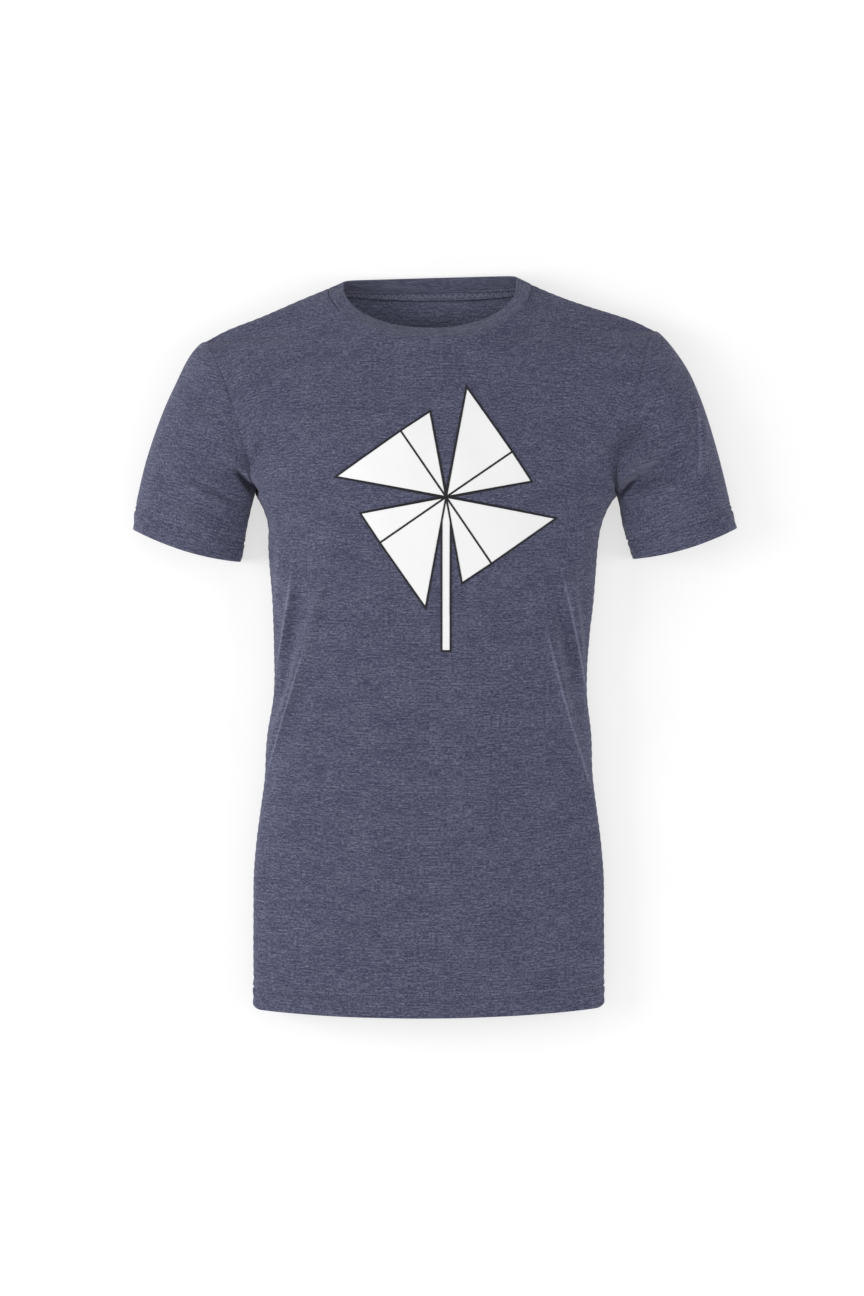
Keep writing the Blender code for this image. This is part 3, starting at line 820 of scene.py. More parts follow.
def panel_cloth(name, height, neck_drop, spacing, relief, facing):
    """A whole body panel: plain face, relief, seams, hem and turned edges."""
    u, y, depth, up = panel_rows(height, neck_drop, spacing)
    points, outward = panel_face(height, u, y)
    outward = outward * facing
    left = lengths(points, 1)
    along_side = lengths(points, 0)
    to_side = np.minimum(left, left[:, [-1]] - left)
    to_top = along_side[[-1], :] - along_side
    in_armhole = ease((y - ARMPIT_Y) / SEAM_END_FADE)
    near_armhole = (bell(to_side, ARMHOLE_FADE) * in_armhole)[..., None]
    seam_way = np.where((u < 0)[..., None], armhole_outward(armhole_share(y), facing > 0, -1),
                        armhole_outward(armhole_share(y), facing > 0, 1))
    outward = unit(mix(outward, seam_way, near_armhole))
    rise = relief(points[..., 0], points[..., 1])
    rise = rise * ease(to_side / EDGE_FADE) * ease(to_top / EDGE_FADE)
    share = armhole_share(y)
    if facing > 0:
        from_seam = mix(0.5, share, bell(to_side, FOLD_SPREAD) * in_armhole)
        rise = rise + armpit_folds(points[..., 0], points[..., 1], from_seam) * ease(to_top / FOLD_END_FADE)
        rise = rise + armpit_relief(to_side, share) * in_armhole
    rise = rise + seam_relief(to_side, along_side, mix(SEAM_DIP, ARMHOLE_DIP, in_armhole),
                              mix(PUCKER, 0.0, in_armhole))
    rise = rise + seam_relief(to_top, left) * (1 - ease((SEAM_END_FADE - to_side) / SEAM_END_FADE))
    rise = rise + hem_relief(up, left)
    points = points + outward * (rise - depth)[..., None]
    points[..., 2] = np.maximum(points[..., 2], 0.0)
    lines = stitch_lines(points, outward, up, depth)
    points, outward = with_turned_edges(points, outward)
    return cloth_object(name, points, outward, metre_map(points)), lines


front_cloth, front_lines = panel_cloth(
    "front_cloth", front_height, FRONT_NECK_DROP, FRONT_SPACING, front_relief, 1.0)
thicken(front_cloth, WALL)

# %% [markdown]
# ## Back panel
#
# The back takes the shirt's weight, so it lies flat on the table and only its edges roll up to the seams.
# It shows through the neck and at the hem. Its faint ripples only rise, because the table stops them from
# going down.

# %% Back panel


def back_relief(x, y):
    """Faint ripples, upward only, so inward for a face that looks down."""
    return -np.maximum(ripples(x, y, 23, 0.0005), 0.0)


back_cloth, back_lines = panel_cloth(
    "back_cloth", back_height, BACK_NECK_DROP, BACK_SPACING, back_relief, -1.0)
print("lowest point of the back", round(min(v.co.z for v in back_cloth.data.vertices), 5))
thicken(back_cloth, WALL)

# %% [markdown]
# ## Sleeves
#
# A sleeve is a short tube, sewn to the armhole at one end and hemmed at the other. Its seam runs along the
# underarm, so the grid starts and ends there, where the real cloth is joined. Round the tube it goes over
# the top to the outer edge, and back under. Its folds fan out from the armpit.

# %% Folds and map of a sleeve
LEFT_SLEEVE_FOLDS = (
    (((0.1980, 0.120), (0.2400, 0.1440), (0.2760, 0.158)), 0.0034, 0.0085, 0.0),
    (((0.2660, 0.252), (0.2735, 0.212), (0.2690, 0.166)), 0.0034, 0.0045, 0.6),
    (((0.2050, 0.236), (0.2300, 0.252), (0.2500, 0.276)), 0.0026, 0.0100, 0.2),
)
RIGHT_SLEEVE_FOLDS = (
    (((-0.1900, 0.133), (-0.2150, 0.1480), (-0.2660, 0.1715)), 0.0030, 0.0050, 0.6),
    (((-0.2060, 0.112), (-0.2360, 0.1270), (-0.2740, 0.1420)), 0.0026, 0.0080, 0.3),
    (((-0.2080, 0.222), (-0.2400, 0.236), (-0.2640, 0.262)), 0.0022, 0.0110, 0.2),
)
SLEEVE_COLUMNS = 216
SLEEVE_SPACING = 0.0019


def sleeve_map(points, side):
    """UV map in metres with a straight grain: rows of loops run parallel to the sleeve's hem."""
    hem_way = np.array([side * HEM_REACH, SLEEVE_OPENING_RISE, 0.0]) / SLEEVE_OPENING
    down_way = np.array([side * SLEEVE_OPENING_RISE, -HEM_REACH, 0.0]) / SLEEVE_OPENING
    across = points @ hem_way
    height = points[..., 2]
    columns = points.shape[1]
    edge = columns // 2
    crown = np.argmax(height[columns // 3])
    below_crown = height[:, [crown]] - height
    upper = across + np.where(np.arange(columns) > crown, below_crown, -below_crown)
    lower = 2 * across[:, [edge]] - across + below_crown[:, [edge]] - (height - height[:, [edge]])
    across = np.where(np.arange(columns) <= edge, upper, lower)
    return np.stack([across, points @ down_way], axis=-1)


print(len(LEFT_SLEEVE_FOLDS + RIGHT_SLEEVE_FOLDS), "folds on the sleeves")

# %% Sleeves


def sleeve_cloth(name, side, folds):
    """A whole sleeve: tube, folds, armhole seam, underarm seam and hem."""
    dense = np.linspace(0.0, 1.0, 3001)
    ring = lengths(sleeve_point(dense, np.full_like(dense, 0.5), side), 0)
    turn = np.interp(np.linspace(0, ring[-1], SLEEVE_COLUMNS + 1), ring, dense)
    turn[0], turn[-1] = 1e-6, 1 - 1e-6
    path = sleeve_path(turn)
    steps = int(path.max() / SLEEVE_SPACING)
    plain = np.concatenate([EDGE_STEPS[:-1] / path.max(),
                            np.linspace(EDGE_STEPS[-1] / path.max(), 1.0, steps)])
    hem = hem_rows()[::-1]
    down = np.concatenate([np.outer(plain, 1 - HEM_ZONE / path), [1 - up / path for up, _ in hem]])
    depth = np.concatenate([np.zeros(len(plain)), [inside for _, inside in hem]])[:, None]
    turn = np.broadcast_to(turn, down.shape)
    points = sleeve_point(turn, down, side)
    outward = sleeve_outward(turn, down, side)
    around = lengths(points, 1)
    along = lengths(points, 0)
    share = tube_share(turn)
    front_half = turn < 0.5
    seam_way = np.where(front_half[..., None], armhole_outward(share, True, side),
                        armhole_outward(share, False, side))
    outward = unit(mix(outward, seam_way, bell(along, ARMHOLE_FADE)[..., None]))
    up = (1 - down) * path
    to_underarm = np.minimum(around, around[:, [-1]] - around)
    upper = front_half * swell(share) ** 0.5
    rise = fold_relief(points[..., 0], points[..., 1], folds) * upper
    rise = rise + ripples(points[..., 0], points[..., 1], 31 + side, 0.0005) * upper
    rise = rise * ease(along / SLEEVE_TOP_FADE)
    rise = rise + armpit_folds(points[..., 0], points[..., 1], share) * front_half * ease(up / FOLD_END_FADE)
    rise = rise + armpit_relief(along, share) * front_half
    rise = rise + seam_relief(along, around, ARMHOLE_DIP, 0.0)
    rise = rise + seam_relief(to_underarm, along) * ease(along / SEAM_END_FADE) * 0.7
    rise = rise + hem_relief(up, around)
    points = points + outward * (rise - depth)[..., None]
    points[..., 2] = np.maximum(points[..., 2], 0.0)
    lines = stitch_lines(points, outward, up, depth)
    points = np.concatenate([points[:1] - outward[:1] * TURN_IN, points])
    outward = np.concatenate([outward[:1], outward])
    cloth_map = sleeve_map(points, side)
    points[:, 0] = (points[:, 0] + points[:, -1]) / 2
    made = cloth_object(name, points[:, :-1], outward[:, :-1], cloth_map, looped=True)
    return made, lines


left_sleeve_cloth, left_lines = sleeve_cloth("left_sleeve_cloth", 1, LEFT_SLEEVE_FOLDS)
right_sleeve_cloth, right_lines = sleeve_cloth("right_sleeve_cloth", -1, RIGHT_SLEEVE_FOLDS)
for sleeve in (left_sleeve_cloth, right_sleeve_cloth):
    thicken(sleeve, WALL)

# %% [markdown]
# ## Neck rib
#
# The collar is one band of ribbed knit, folded along its free edge and sewn to the neckline. Ribs are real
# ridges here, about 1.8 mm apart, made by a wave across the band's many columns: the outline of a close-up
# needs them, and a bump in the material would leave it flat.

# %% Surface of the rib
RIB_PITCH = 0.0018
RIB_HEIGHT = 0.00016
RIB_FOLD = 0.0008
RIB_STEPS = 6
RIB_ROWS = (0.02, 0.06, 0.12, 0.20, 0.30, 0.42, 0.55, 0.68, 0.80, 0.90)
RIB_FOLD_STEPS = 5


def rib_point(turn, out):
    """A point of the rib's outer face, by angle round the neck and share of its width."""
    front = np.cos(turn)
    ahead = front > 0
    seam_x = NECK_HALF * np.sin(turn)
    seam_y = NECK_POINT_Y - np.where(ahead, FRONT_NECK_DROP, BACK_NECK_DROP) * np.abs(front)
    u = NECK_SHARE * np.sin(turn)
    seam_z = np.where(ahead, front_height(u, seam_y), back_height(u, seam_y))
    end_x = (NECK_HALF - RIB_WIDTH - RIB_BACK_IN * ease(-front / 0.25)) * np.sin(turn)
    end_y = np.where(ahead, NECK_POINT_Y - (FRONT_NECK_DROP - RIB_FRONT_SHOWN) * front,
                     NECK_POINT_Y + (RIB_BACK_RISE + RIB_TOP_EXTRA) * np.abs(front) ** RIB_BACK_SQUARE)
    end_z = seam_z + mix(RIB_LIFT, -RIB_FRONT_DIP, np.maximum(front, 0.0))
    start = np.stack([seam_x, seam_y, seam_z], axis=-1)
    end = np.stack([end_x, end_y, end_z], axis=-1)
    return mix(start, end, out[..., None])


print("the rib's free edge at the front", np.round(rib_point(np.zeros(1), np.ones(1))[0], 3))

# %% Neck rib


def rib_band(name):
    """The whole band: outer face, folded edge and inner face, with its ribs."""
    dense = np.linspace(-pi / 2, 3 * pi / 2, 4001)
    run = lengths(rib_point(dense, np.full_like(dense, 0.5)), 0)
    ribs = int(round(run[-1] / RIB_PITCH))
    count = ribs * RIB_STEPS
    turn = np.interp(np.linspace(0, run[-1], count + 1)[:-1], run, dense)
    width = np.linalg.norm(rib_point(turn, np.ones(count)) - rib_point(turn, np.zeros(count)), axis=-1)
    bends = [pi * step / RIB_FOLD_STEPS for step in range(RIB_FOLD_STEPS + 1)]
    rows = [(share * (1 - RIB_FOLD / width), 0.0) for share in RIB_ROWS]
    rows += [(1 - RIB_FOLD * (1 - sin(bend)) / width, RIB_FOLD * (1 - cos(bend))) for bend in bends]
    rows += [(share * (1 - RIB_FOLD / width), 2 * RIB_FOLD) for share in RIB_ROWS[::-2]]
    out = np.array([place for place, _ in rows])
    depth = np.array([inside for _, inside in rows])[:, None]
    turn = np.broadcast_to(turn, out.shape)
    points = rib_point(turn, out)
    ring = rib_point(turn + 1e-4, out) - rib_point(turn - 1e-4, out)
    across = rib_point(turn, out + 1e-3) - rib_point(turn, out - 1e-3)
    outward = unit(np.cross(ring, across))
    rib = np.cos(2 * pi * np.arange(count) / RIB_STEPS)[None, :]
    face = np.where(depth > RIB_FOLD, -1.0, 1.0)
    from_seam = out * width
    rise = RIB_HEIGHT * rib * face * ease(from_seam / 0.003)
    rise = rise - SEAM_DIP * bell(from_seam, SEAM_DIP_WIDTH) * (face > 0)
    points = points + outward * (rise - depth)[..., None]
    closed = np.concatenate([points, points[:, :1]], axis=1)
    rib_map = np.stack([lengths(closed, 1), lengths(closed, 0)], axis=-1)
    made = cloth_object(name, points, outward, rib_map, looped=True)
    print(name, ribs, "ribs, round the neck", round(float(run[-1]), 3), "m")
    return made


neck_rib_knit = rib_band("neck_rib_knit")
thicken(neck_rib_knit, WALL)

# %% [markdown]
# ## Neck tape
#
# A narrow tape covers the raw neck seam inside the back. Its upper edge is sewn over the foot of the rib, and
# it comes down onto the back panel, so it bridges the seam. Its lower edge stands a little off the cloth.
# Later it gets a pale zigzag of thread along its middle, and a row of dark stitches along its lower edge that
# paints the thin shadow line under it.

# %% Neck tape
TAPE_TURN = 1.12
TAPE_WIDTH = 0.0048
TAPE_SAG = 0.0040
TAPE_COLUMNS = 180
TAPE_ROWS = 12
TAPE_THICKNESS = 0.0005

# Where on the rib it starts, the share of it that bridges the seam, and its heights above the back
TAPE_START = 0.10
TAPE_BRIDGE = 0.45
TAPE_LIFT = 0.0011
TAPE_EDGE_LIFT = 0.0013
TAPE_CROWN = 0.0006


def tape_strip(name):
    """The tape, from the foot of the rib down onto the back panel."""
    turn = np.linspace(pi - TAPE_TURN, pi + TAPE_TURN, TAPE_COLUMNS + 1)
    start = np.full_like(turn, TAPE_START)
    foot = rib_point(turn, start)
    foot_up = -unit(np.cross(rib_point(turn + 1e-4, start) - foot, rib_point(turn, start + 1e-3) - foot))
    share = np.linspace(0.0, 1.0, TAPE_ROWS + 1)[:, None]
    foot = foot + foot_up * (2 * RIB_FOLD + mix(-0.0004, 0.0003, ease(share / 0.15)))[..., None]
    seam_y = NECK_POINT_Y - BACK_NECK_DROP * np.abs(np.cos(turn))
    y = seam_y - TAPE_WIDTH * share - TAPE_SAG * share * np.cos((turn - pi) / TAPE_TURN * pi / 2)
    x = NECK_HALF * np.sin(turn) * mix(1.0, 0.985, share)
    below, upward = panel_face(back_height, x / body_half(y), y)
    below = below + upward * (TAPE_LIFT + TAPE_EDGE_LIFT * share)[..., None]
    bridge = ease(share / TAPE_BRIDGE)[..., None]
    points = mix(foot + (below - below[:1]) * 0.6, below, bridge)
    points[..., 2] += TAPE_CROWN * np.sin(pi * share)
    return cloth_object(name, points, upward, metre_map(points)), points, upward


neck_tape_weave, tape_points, tape_up = tape_strip("neck_tape_weave")
thicken(neck_tape_weave, TAPE_THICKNESS)

# %% [markdown]
# ## Print
#
# The print is ink on the cloth: a folded-paper pinwheel on a stick, white with black fold lines. Each colour
# is a thin film on its own fine patch of the front's surface, cut to shape with an upright prism. A Boolean
# keeps the edges crisp at any distance, and the film follows the cloth exactly.

# %% Print outlines
PRINT_ACROSS = 0.016
PRINT_UP = 0.150
BLADE = 0.112
BLADE_MIDDLE = 0.080
BLADE_FOLD = 0.087
BLADE_SPACE = 21.0
STICK_LENGTH = 0.153
STICK_WIDTH = 0.009
LINE = 0.0019
INK = 0.00012
INK_STEP = 0.0022
INK_MARGIN = 0.006


def around_hub(radius, degrees):
    """A point of the print, by distance and angle from its hub."""
    angle = degrees * pi / 180
    return (PRINT_ACROSS + radius * cos(angle), PRINT_UP + radius * sin(angle))


def pinwheel():
    """Outline of the pinwheel, and of each of its paper faces and its stick."""
    seat = STICK_WIDTH / 2 / tan(pi * BLADE_SPACE / 360)
    left, right = PRINT_ACROSS - STICK_WIDTH / 2, PRINT_ACROSS + STICK_WIDTH / 2
    foot = PRINT_UP - STICK_LENGTH
    stick = [(left, PRINT_UP - seat), (left, foot), (right, foot), (right, PRINT_UP - seat)]
    hub = (PRINT_ACROSS, PRINT_UP)
    outline, faces = [], [[hub] + stick]
    for quarter in range(4):
        tip_angle = 90 * quarter - BLADE_SPACE / 2
        fold = around_hub(BLADE_FOLD, tip_angle - 90 + BLADE_SPACE)
        middle = around_hub(BLADE_MIDDLE, tip_angle - 45)
        tip = around_hub(BLADE, tip_angle)
        outline += [fold, middle, tip, around_hub(2 * LINE, tip_angle + BLADE_SPACE / 2)]
        faces += [[hub, fold, middle], [hub, middle, tip]]
    return outline[:-1] + stick, faces


print("the pinwheel has", len(pinwheel()[0]), "corners")

# %% Grown outlines


def grown(outline, distance):
    """Move each side of an anticlockwise outline outward, or inward for a negative distance."""
    moved = []
    for index, (x, y) in enumerate(outline):
        before, after = outline[index - 1], outline[(index + 1) % len(outline)]
        first, second = (x - before[0], y - before[1]), (after[0] - x, after[1] - y)
        normal_1 = (first[1] / hypot(*first), -first[0] / hypot(*first))
        normal_2 = (second[1] / hypot(*second), -second[0] / hypot(*second))
        total = (normal_1[0] + normal_2[0], normal_1[1] + normal_2[1])
        scale = 2 * distance / (total[0] ** 2 + total[1] ** 2)
        moved.append((x + total[0] * scale, y + total[1] * scale))
    return moved


print("a square of 2 m grown by 0.1 m:", grown([(-1, -1), (1, -1), (1, 1), (-1, 1)], 0.1)[2])

# %% Print films


def prism(name, outlines):
    """An upright prism over one or more flat outlines."""
    drawn = bpy.data.curves.new(name, "CURVE")
    drawn.dimensions = "2D"
    drawn.fill_mode = "BOTH"
    drawn.extrude = CHEST_LOFT * 2
    for outline in outlines:
        spline = drawn.splines.new("POLY")
        spline.points.add(len(outline) - 1)
        for point, (x, y) in zip(spline.points, outline):
            point.co = (x, y, 0.0, 1.0)
        spline.use_cyclic_u = True
    made = bpy.data.objects.new(name, drawn)
    bpy.context.scene.collection.objects.link(made)
    use(made)
    bpy.ops.object.convert(target="MESH")
    bpy.ops.object.mode_set(mode="EDIT")
    bpy.ops.mesh.select_all(action="SELECT")
    bpy.ops.mesh.remove_doubles(threshold=1e-6)
    bpy.ops.object.mode_set(mode="OBJECT")
    return made


def ink_patch(name, lift):
    """A fine patch of the front's outer face, a little above the cloth."""
    left, right = PRINT_ACROSS - BLADE - INK_MARGIN, PRINT_ACROSS + BLADE + INK_MARGIN
    foot, top = PRINT_UP - STICK_LENGTH - INK_MARGIN, PRINT_UP + BLADE + INK_MARGIN
    x, y = np.meshgrid(np.linspace(left, right, int((right - left) / INK_STEP)),
                       np.linspace(foot, top, int((top - foot) / INK_STEP)))
    points, upward = panel_face(front_height, x / body_half(y), y)
    points = points + upward * (front_relief(x, y) + lift)[..., None]
    return thicken(cloth_object(name, points, upward, np.stack([x, y], axis=-1)), INK)


def cut(thing, cutter, operation):
    """Keep what is inside the cutter, or outside it."""
    use(thing)
    trim = thing.modifiers.new("trim", "BOOLEAN")
    trim.operation = operation
    trim.solver = "EXACT"
    trim.object = cutter
    bpy.ops.object.modifier_apply(modifier=trim.name)
    bpy.data.objects.remove(cutter)


outline, faces = pinwheel()
white_print = ink_patch("white_print", 2 * INK)
cut(white_print, prism("white_outline", [outline]), "INTERSECT")
line_print = ink_patch("line_print", 4 * INK)
cut(line_print, prism("line_outline", [grown(outline, LINE / 2)]), "INTERSECT")
cut(line_print, prism("paper_faces", [grown(face, -LINE / 2) for face in faces]), "DIFFERENCE")
print("ink faces", len(white_print.data.polygons), len(line_print.data.polygons))

# %% [markdown]
# ## Stitches
#
# The hems are held by two rows of stitches each. The neck tape is held by a pale zigzag and by a straight row
# of dark stitches, which paints the shadow line under the tape's lower edge. One stitch is modelled by hand:
# a small ball, pulled long and thin, with both ends pushed down into the cloth. It is then copied along each
# line, turned to the line and to the cloth's normal. A stitch has only 36 faces, because there are nearly a
# thousand.

# %% One stitch
STITCH_LENGTH = 0.0027
STITCH_PITCH = 0.0032
THREAD = 0.00052
STITCH_LIFT = THREAD * 0.3


def one_stitch():
    """Model a single stitch and return its corners and faces."""
    bpy.ops.object.select_all(action="DESELECT")
    bpy.ops.mesh.primitive_uv_sphere_add(segments=6, ring_count=6, radius=0.5, rotation=(0, pi / 2, 0))
    ball = bpy.context.object
    bpy.ops.object.transform_apply(location=True, rotation=True, scale=True)
    bpy.ops.object.mode_set(mode="EDIT")
    bpy.ops.mesh.select_all(action="SELECT")
    bpy.ops.transform.resize(value=(STITCH_LENGTH, THREAD, THREAD))
    bpy.ops.mesh.select_all(action="DESELECT")
    bpy.ops.object.mode_set(mode="OBJECT")
    for vert in ball.data.vertices:
        vert.select = abs(vert.co.x) > STITCH_LENGTH * 0.35
    bpy.ops.object.mode_set(mode="EDIT")
    bpy.ops.transform.translate(value=(0, 0, -THREAD * 0.7))
    bpy.ops.object.mode_set(mode="OBJECT")
    corners = np.array([v.co[:] for v in ball.data.vertices])

    # Blender lists a ball's faces in a new order each run, so they are sorted
    faces = sorted(tuple(p.vertices) for p in ball.data.polygons)
    bpy.data.objects.remove(ball)
    return corners, faces


stitch_corners, stitch_faces = one_stitch()
print("one stitch has", len(stitch_faces), "faces")

# %% Rows of stitches


def stitch_row(points, normals, pitch=STITCH_PITCH, slant=0.0, lift=0.0, size=1.0):
    """Corners of all the stitches along one line. A slant makes a zigzag, in radians to each side."""
    run = lengths(points, 0)
    count = int(run[-1] / pitch)
    at = (np.arange(count) + 0.5) * run[-1] / count
    centre = np.stack([np.interp(at, run, points[:, k]) for k in range(3)], axis=-1)
    ahead = unit(np.stack([np.interp(at + pitch / 4, run, points[:, k]) for k in range(3)], axis=-1)
                 - np.stack([np.interp(at - pitch / 4, run, points[:, k]) for k in range(3)], axis=-1))
    up = unit(np.stack([np.interp(at, run, normals[:, k]) for k in range(3)], axis=-1))
    aside = unit(np.cross(up, ahead))
    up = np.cross(ahead, aside)
    turn = slant * np.where(np.arange(count) % 2, 1.0, -1.0)[:, None]
    forward = ahead * np.cos(turn) + aside * np.sin(turn)
    sideways = aside * np.cos(turn) - ahead * np.sin(turn)
    corners = stitch_corners * size
    placed = (centre[:, None] + up[:, None] * lift + corners[None, :, :1] * forward[:, None]
              + corners[None, :, 1:2] * sideways[:, None] + corners[None, :, 2:] * up[:, None])
    return placed.reshape(-1, 3)


def stitches(name, rows):
    """One object from rows of stitches. Every second row takes the second thread."""
    corners = settle(np.concatenate(rows))
    each = len(stitch_corners)
    faces = [tuple(base + c for c in face) for base in range(0, len(corners), each) for face in stitch_faces]
    mesh = bpy.data.meshes.new(name)
    mesh.from_pydata(corners.tolist(), [], faces)
    mesh.shade_smooth()
    second = np.concatenate(
        [np.full(len(row) // each * len(stitch_faces), k % 2) for k, row in enumerate(rows)])
    mesh.polygons.foreach_set("material_index", second.astype(np.int32))
    made = bpy.data.objects.new(name, mesh)
    bpy.context.scene.collection.objects.link(made)
    print(name, len(corners) // each, "stitches")
    return made


print("stitches in one row of the front's hem:", len(stitch_row(*front_lines[0])) // len(stitch_corners))

# %% Sewing the hems and the tape
body_stitches, left_stitches, right_stitches = [
    stitches(place + "_hem_stitches", [stitch_row(*line, lift=STITCH_LIFT) for line in lines])
    for place, lines in (("body", front_lines + back_lines), ("left", left_lines), ("right", right_lines))]

# The tape's zigzag runs along its middle row. A row of dark stitches along its lower edge paints the shadow
# line under the tape
ZIGZAG_PITCH, ZIGZAG_SLANT, ZIGZAG_SIZE = 0.0031, 0.85, np.array([1.75, 1.25, 1.25])
SHADOW_ROW_PITCH, SHADOW_ROW_SIZE = 0.0030, np.array([1.35, 1.3, 1.0])
middle = TAPE_ROWS // 2
tape_stitches_and_shadow_row = stitches("tape_stitches_and_shadow_row", [
    stitch_row(tape_points[middle], tape_up[middle], ZIGZAG_PITCH, ZIGZAG_SLANT, THREAD * 0.5, ZIGZAG_SIZE),
    stitch_row(tape_points[-1], tape_up[-1], SHADOW_ROW_PITCH, 0.0, STITCH_LIFT, SHADOW_ROW_SIZE)])

# %% [markdown]
# ## Yarn and knit, as shader groups
#
# Heather yarn is spun from pale and dark fibres together, so the cloth shows short flecks that lie along the
# rows of loops. Noise that is stretched along the cloth's own UV map does that, in four sizes. The second
# group draws the loops themselves: slanted legs that meet in a V, less than a millimetre wide. The third
# marks one sharp crease. Each is used many times, so it is made once, with its own inputs and outputs.

# %% Helpers for node trees


def new_group(name, inputs, outputs):
    """An empty shader group with named sockets."""
    group = bpy.data.node_groups.new(name, "ShaderNodeTree")
    for label, kind, value in inputs:
        socket = group.interface.new_socket(label, in_out="INPUT", socket_type=kind)
        if value is not None:
            socket.default_value = value
    for label, kind in outputs:
        group.interface.new_socket(label, in_out="OUTPUT", socket_type=kind)
    return group, group.nodes.new("NodeGroupInput"), group.nodes.new("NodeGroupOutput")


def math_node(tree, operation, first, second=None, third=None):
    """A Math node. Each value is a socket or a number."""
    node = tree.nodes.new("ShaderNodeMath")
    node.operation = operation
    for socket, value in zip(node.inputs, (first, second, third)):
        if isinstance(value, bpy.types.NodeSocket):
            tree.links.new(value, socket)
        elif value is not None:
            socket.default_value = value
    return node.outputs[0]


def stretched_noise(tree, vector, stretch, detail):
    """Noise on a stretched copy of a vector."""
    scaled = tree.nodes.new("ShaderNodeVectorMath")
    scaled.operation = "MULTIPLY"
    tree.links.new(vector, scaled.inputs[0])
    scaled.inputs[1].default_value = stretch
    noise = tree.nodes.new("ShaderNodeTexNoise")
    noise.inputs["Scale"].default_value = 1.0
    noise.inputs["Detail"].default_value = detail
    noise.inputs["Roughness"].default_value = 0.55
    tree.links.new(scaled.outputs[0], noise.inputs["Vector"])
    return noise.outputs["Fac"]


def tone_blend(tree, share, first, second):
    """A colour between two others. Each value is a socket or plain."""
    blend = tree.nodes.new("ShaderNodeMix")
    blend.data_type = "RGBA"
    for label, value in (("Factor", share), ("A", first), ("B", second)):
        if isinstance(value, bpy.types.NodeSocket):
            tree.links.new(value, blend.inputs[label])
        else:
            blend.inputs[label].default_value = value
    return blend.outputs["Result"]


print("helpers ready, node groups so far:", len(bpy.data.node_groups))

# %% Heather yarn

# Noises of the heather: their stretch along the cloth's map, their detail and their weight
HEATHER_NOISES = (
    ((85, 600, 1), 1.0, 1.5), ((330, 600, 1), 1.0, 2.2), ((900, 1100, 1), 0.0, 1.1), ((20, 60, 1), 1.0, 0.5))


def heather_group():
    """Yarn colour from pale and dark fibres that lie along the rows of loops."""
    group, given, result = new_group(
        "heather_yarn",
        [("Cloth", "NodeSocketVector", None), ("Dark", "NodeSocketColor", (0.07, 0.07, 0.12, 1)),
         ("Pale", "NodeSocketColor", (0.12, 0.12, 0.18, 1)), ("Contrast", "NodeSocketFloat", 1.0),
         ("Painted Highlight", "NodeSocketFloat", 0.0)],
        [("Color", "NodeSocketColor"), ("Fleck", "NodeSocketFloat")])
    # This input raises the yarn's pale share, which paints a highlight along creases
    total = given.outputs["Painted Highlight"]
    for stretch, detail, weight in HEATHER_NOISES:
        noise = stretched_noise(group, given.outputs["Cloth"], stretch, detail)
        noise = math_node(group, "SUBTRACT", noise, 0.5)
        total = math_node(group, "MULTIPLY_ADD", noise, weight, total)
    share = math_node(group, "MULTIPLY_ADD", total, given.outputs["Contrast"], 0.5)
    share = math_node(group, "POWER", math_node(group, "MAXIMUM", share, 0.0), 1.6)
    tone = tone_blend(group, share, given.outputs["Dark"], given.outputs["Pale"])
    group.links.new(tone, result.inputs["Color"])
    group.links.new(share, result.inputs["Fleck"])
    return group


heather_yarn = heather_group()
print(heather_yarn.name, "has", len(heather_yarn.nodes), "nodes")

# %% Pressed crease


def crease_group():
    """Mask of one sharp crease: a thin bowed line in object coordinates, fading out at both ends."""
    group, given, result = new_group(
        "crease_bump_and_highlight_mask",
        [("Place", "NodeSocketVector", None), ("Middle X", "NodeSocketFloat", 0.0),
         ("Middle Y", "NodeSocketFloat", 0.0), ("Slope", "NodeSocketFloat", 0.0),
         ("Bow", "NodeSocketFloat", 0.0), ("Half Length", "NodeSocketFloat", 0.05),
         ("Half Width", "NodeSocketFloat", 0.001)],
        [("Mask", "NodeSocketFloat")])
    parts = group.nodes.new("ShaderNodeSeparateXYZ")
    group.links.new(given.outputs["Place"], parts.inputs[0])
    up = math_node(group, "SUBTRACT", parts.outputs["Y"], given.outputs["Middle Y"])
    bent = math_node(group, "MULTIPLY_ADD", up, given.outputs["Bow"], given.outputs["Slope"])
    line = math_node(group, "MULTIPLY_ADD", up, bent, given.outputs["Middle X"])
    off = math_node(group, "DIVIDE", math_node(group, "SUBTRACT", parts.outputs["X"], line),
                    given.outputs["Half Width"])
    along = math_node(group, "DIVIDE", up, given.outputs["Half Length"])
    power = math_node(group, "MULTIPLY_ADD", off, off, math_node(group, "POWER", math_node(
        group, "ABSOLUTE", along), 4.0))
    group.links.new(math_node(group, "EXPONENT", math_node(group, "MULTIPLY", power, -1.0)),
                    result.inputs["Mask"])
    return group


crease_bump_and_highlight_mask = crease_group()
print(crease_bump_and_highlight_mask.name, "has", len(crease_bump_and_highlight_mask.nodes), "nodes")

# %% Knit loops


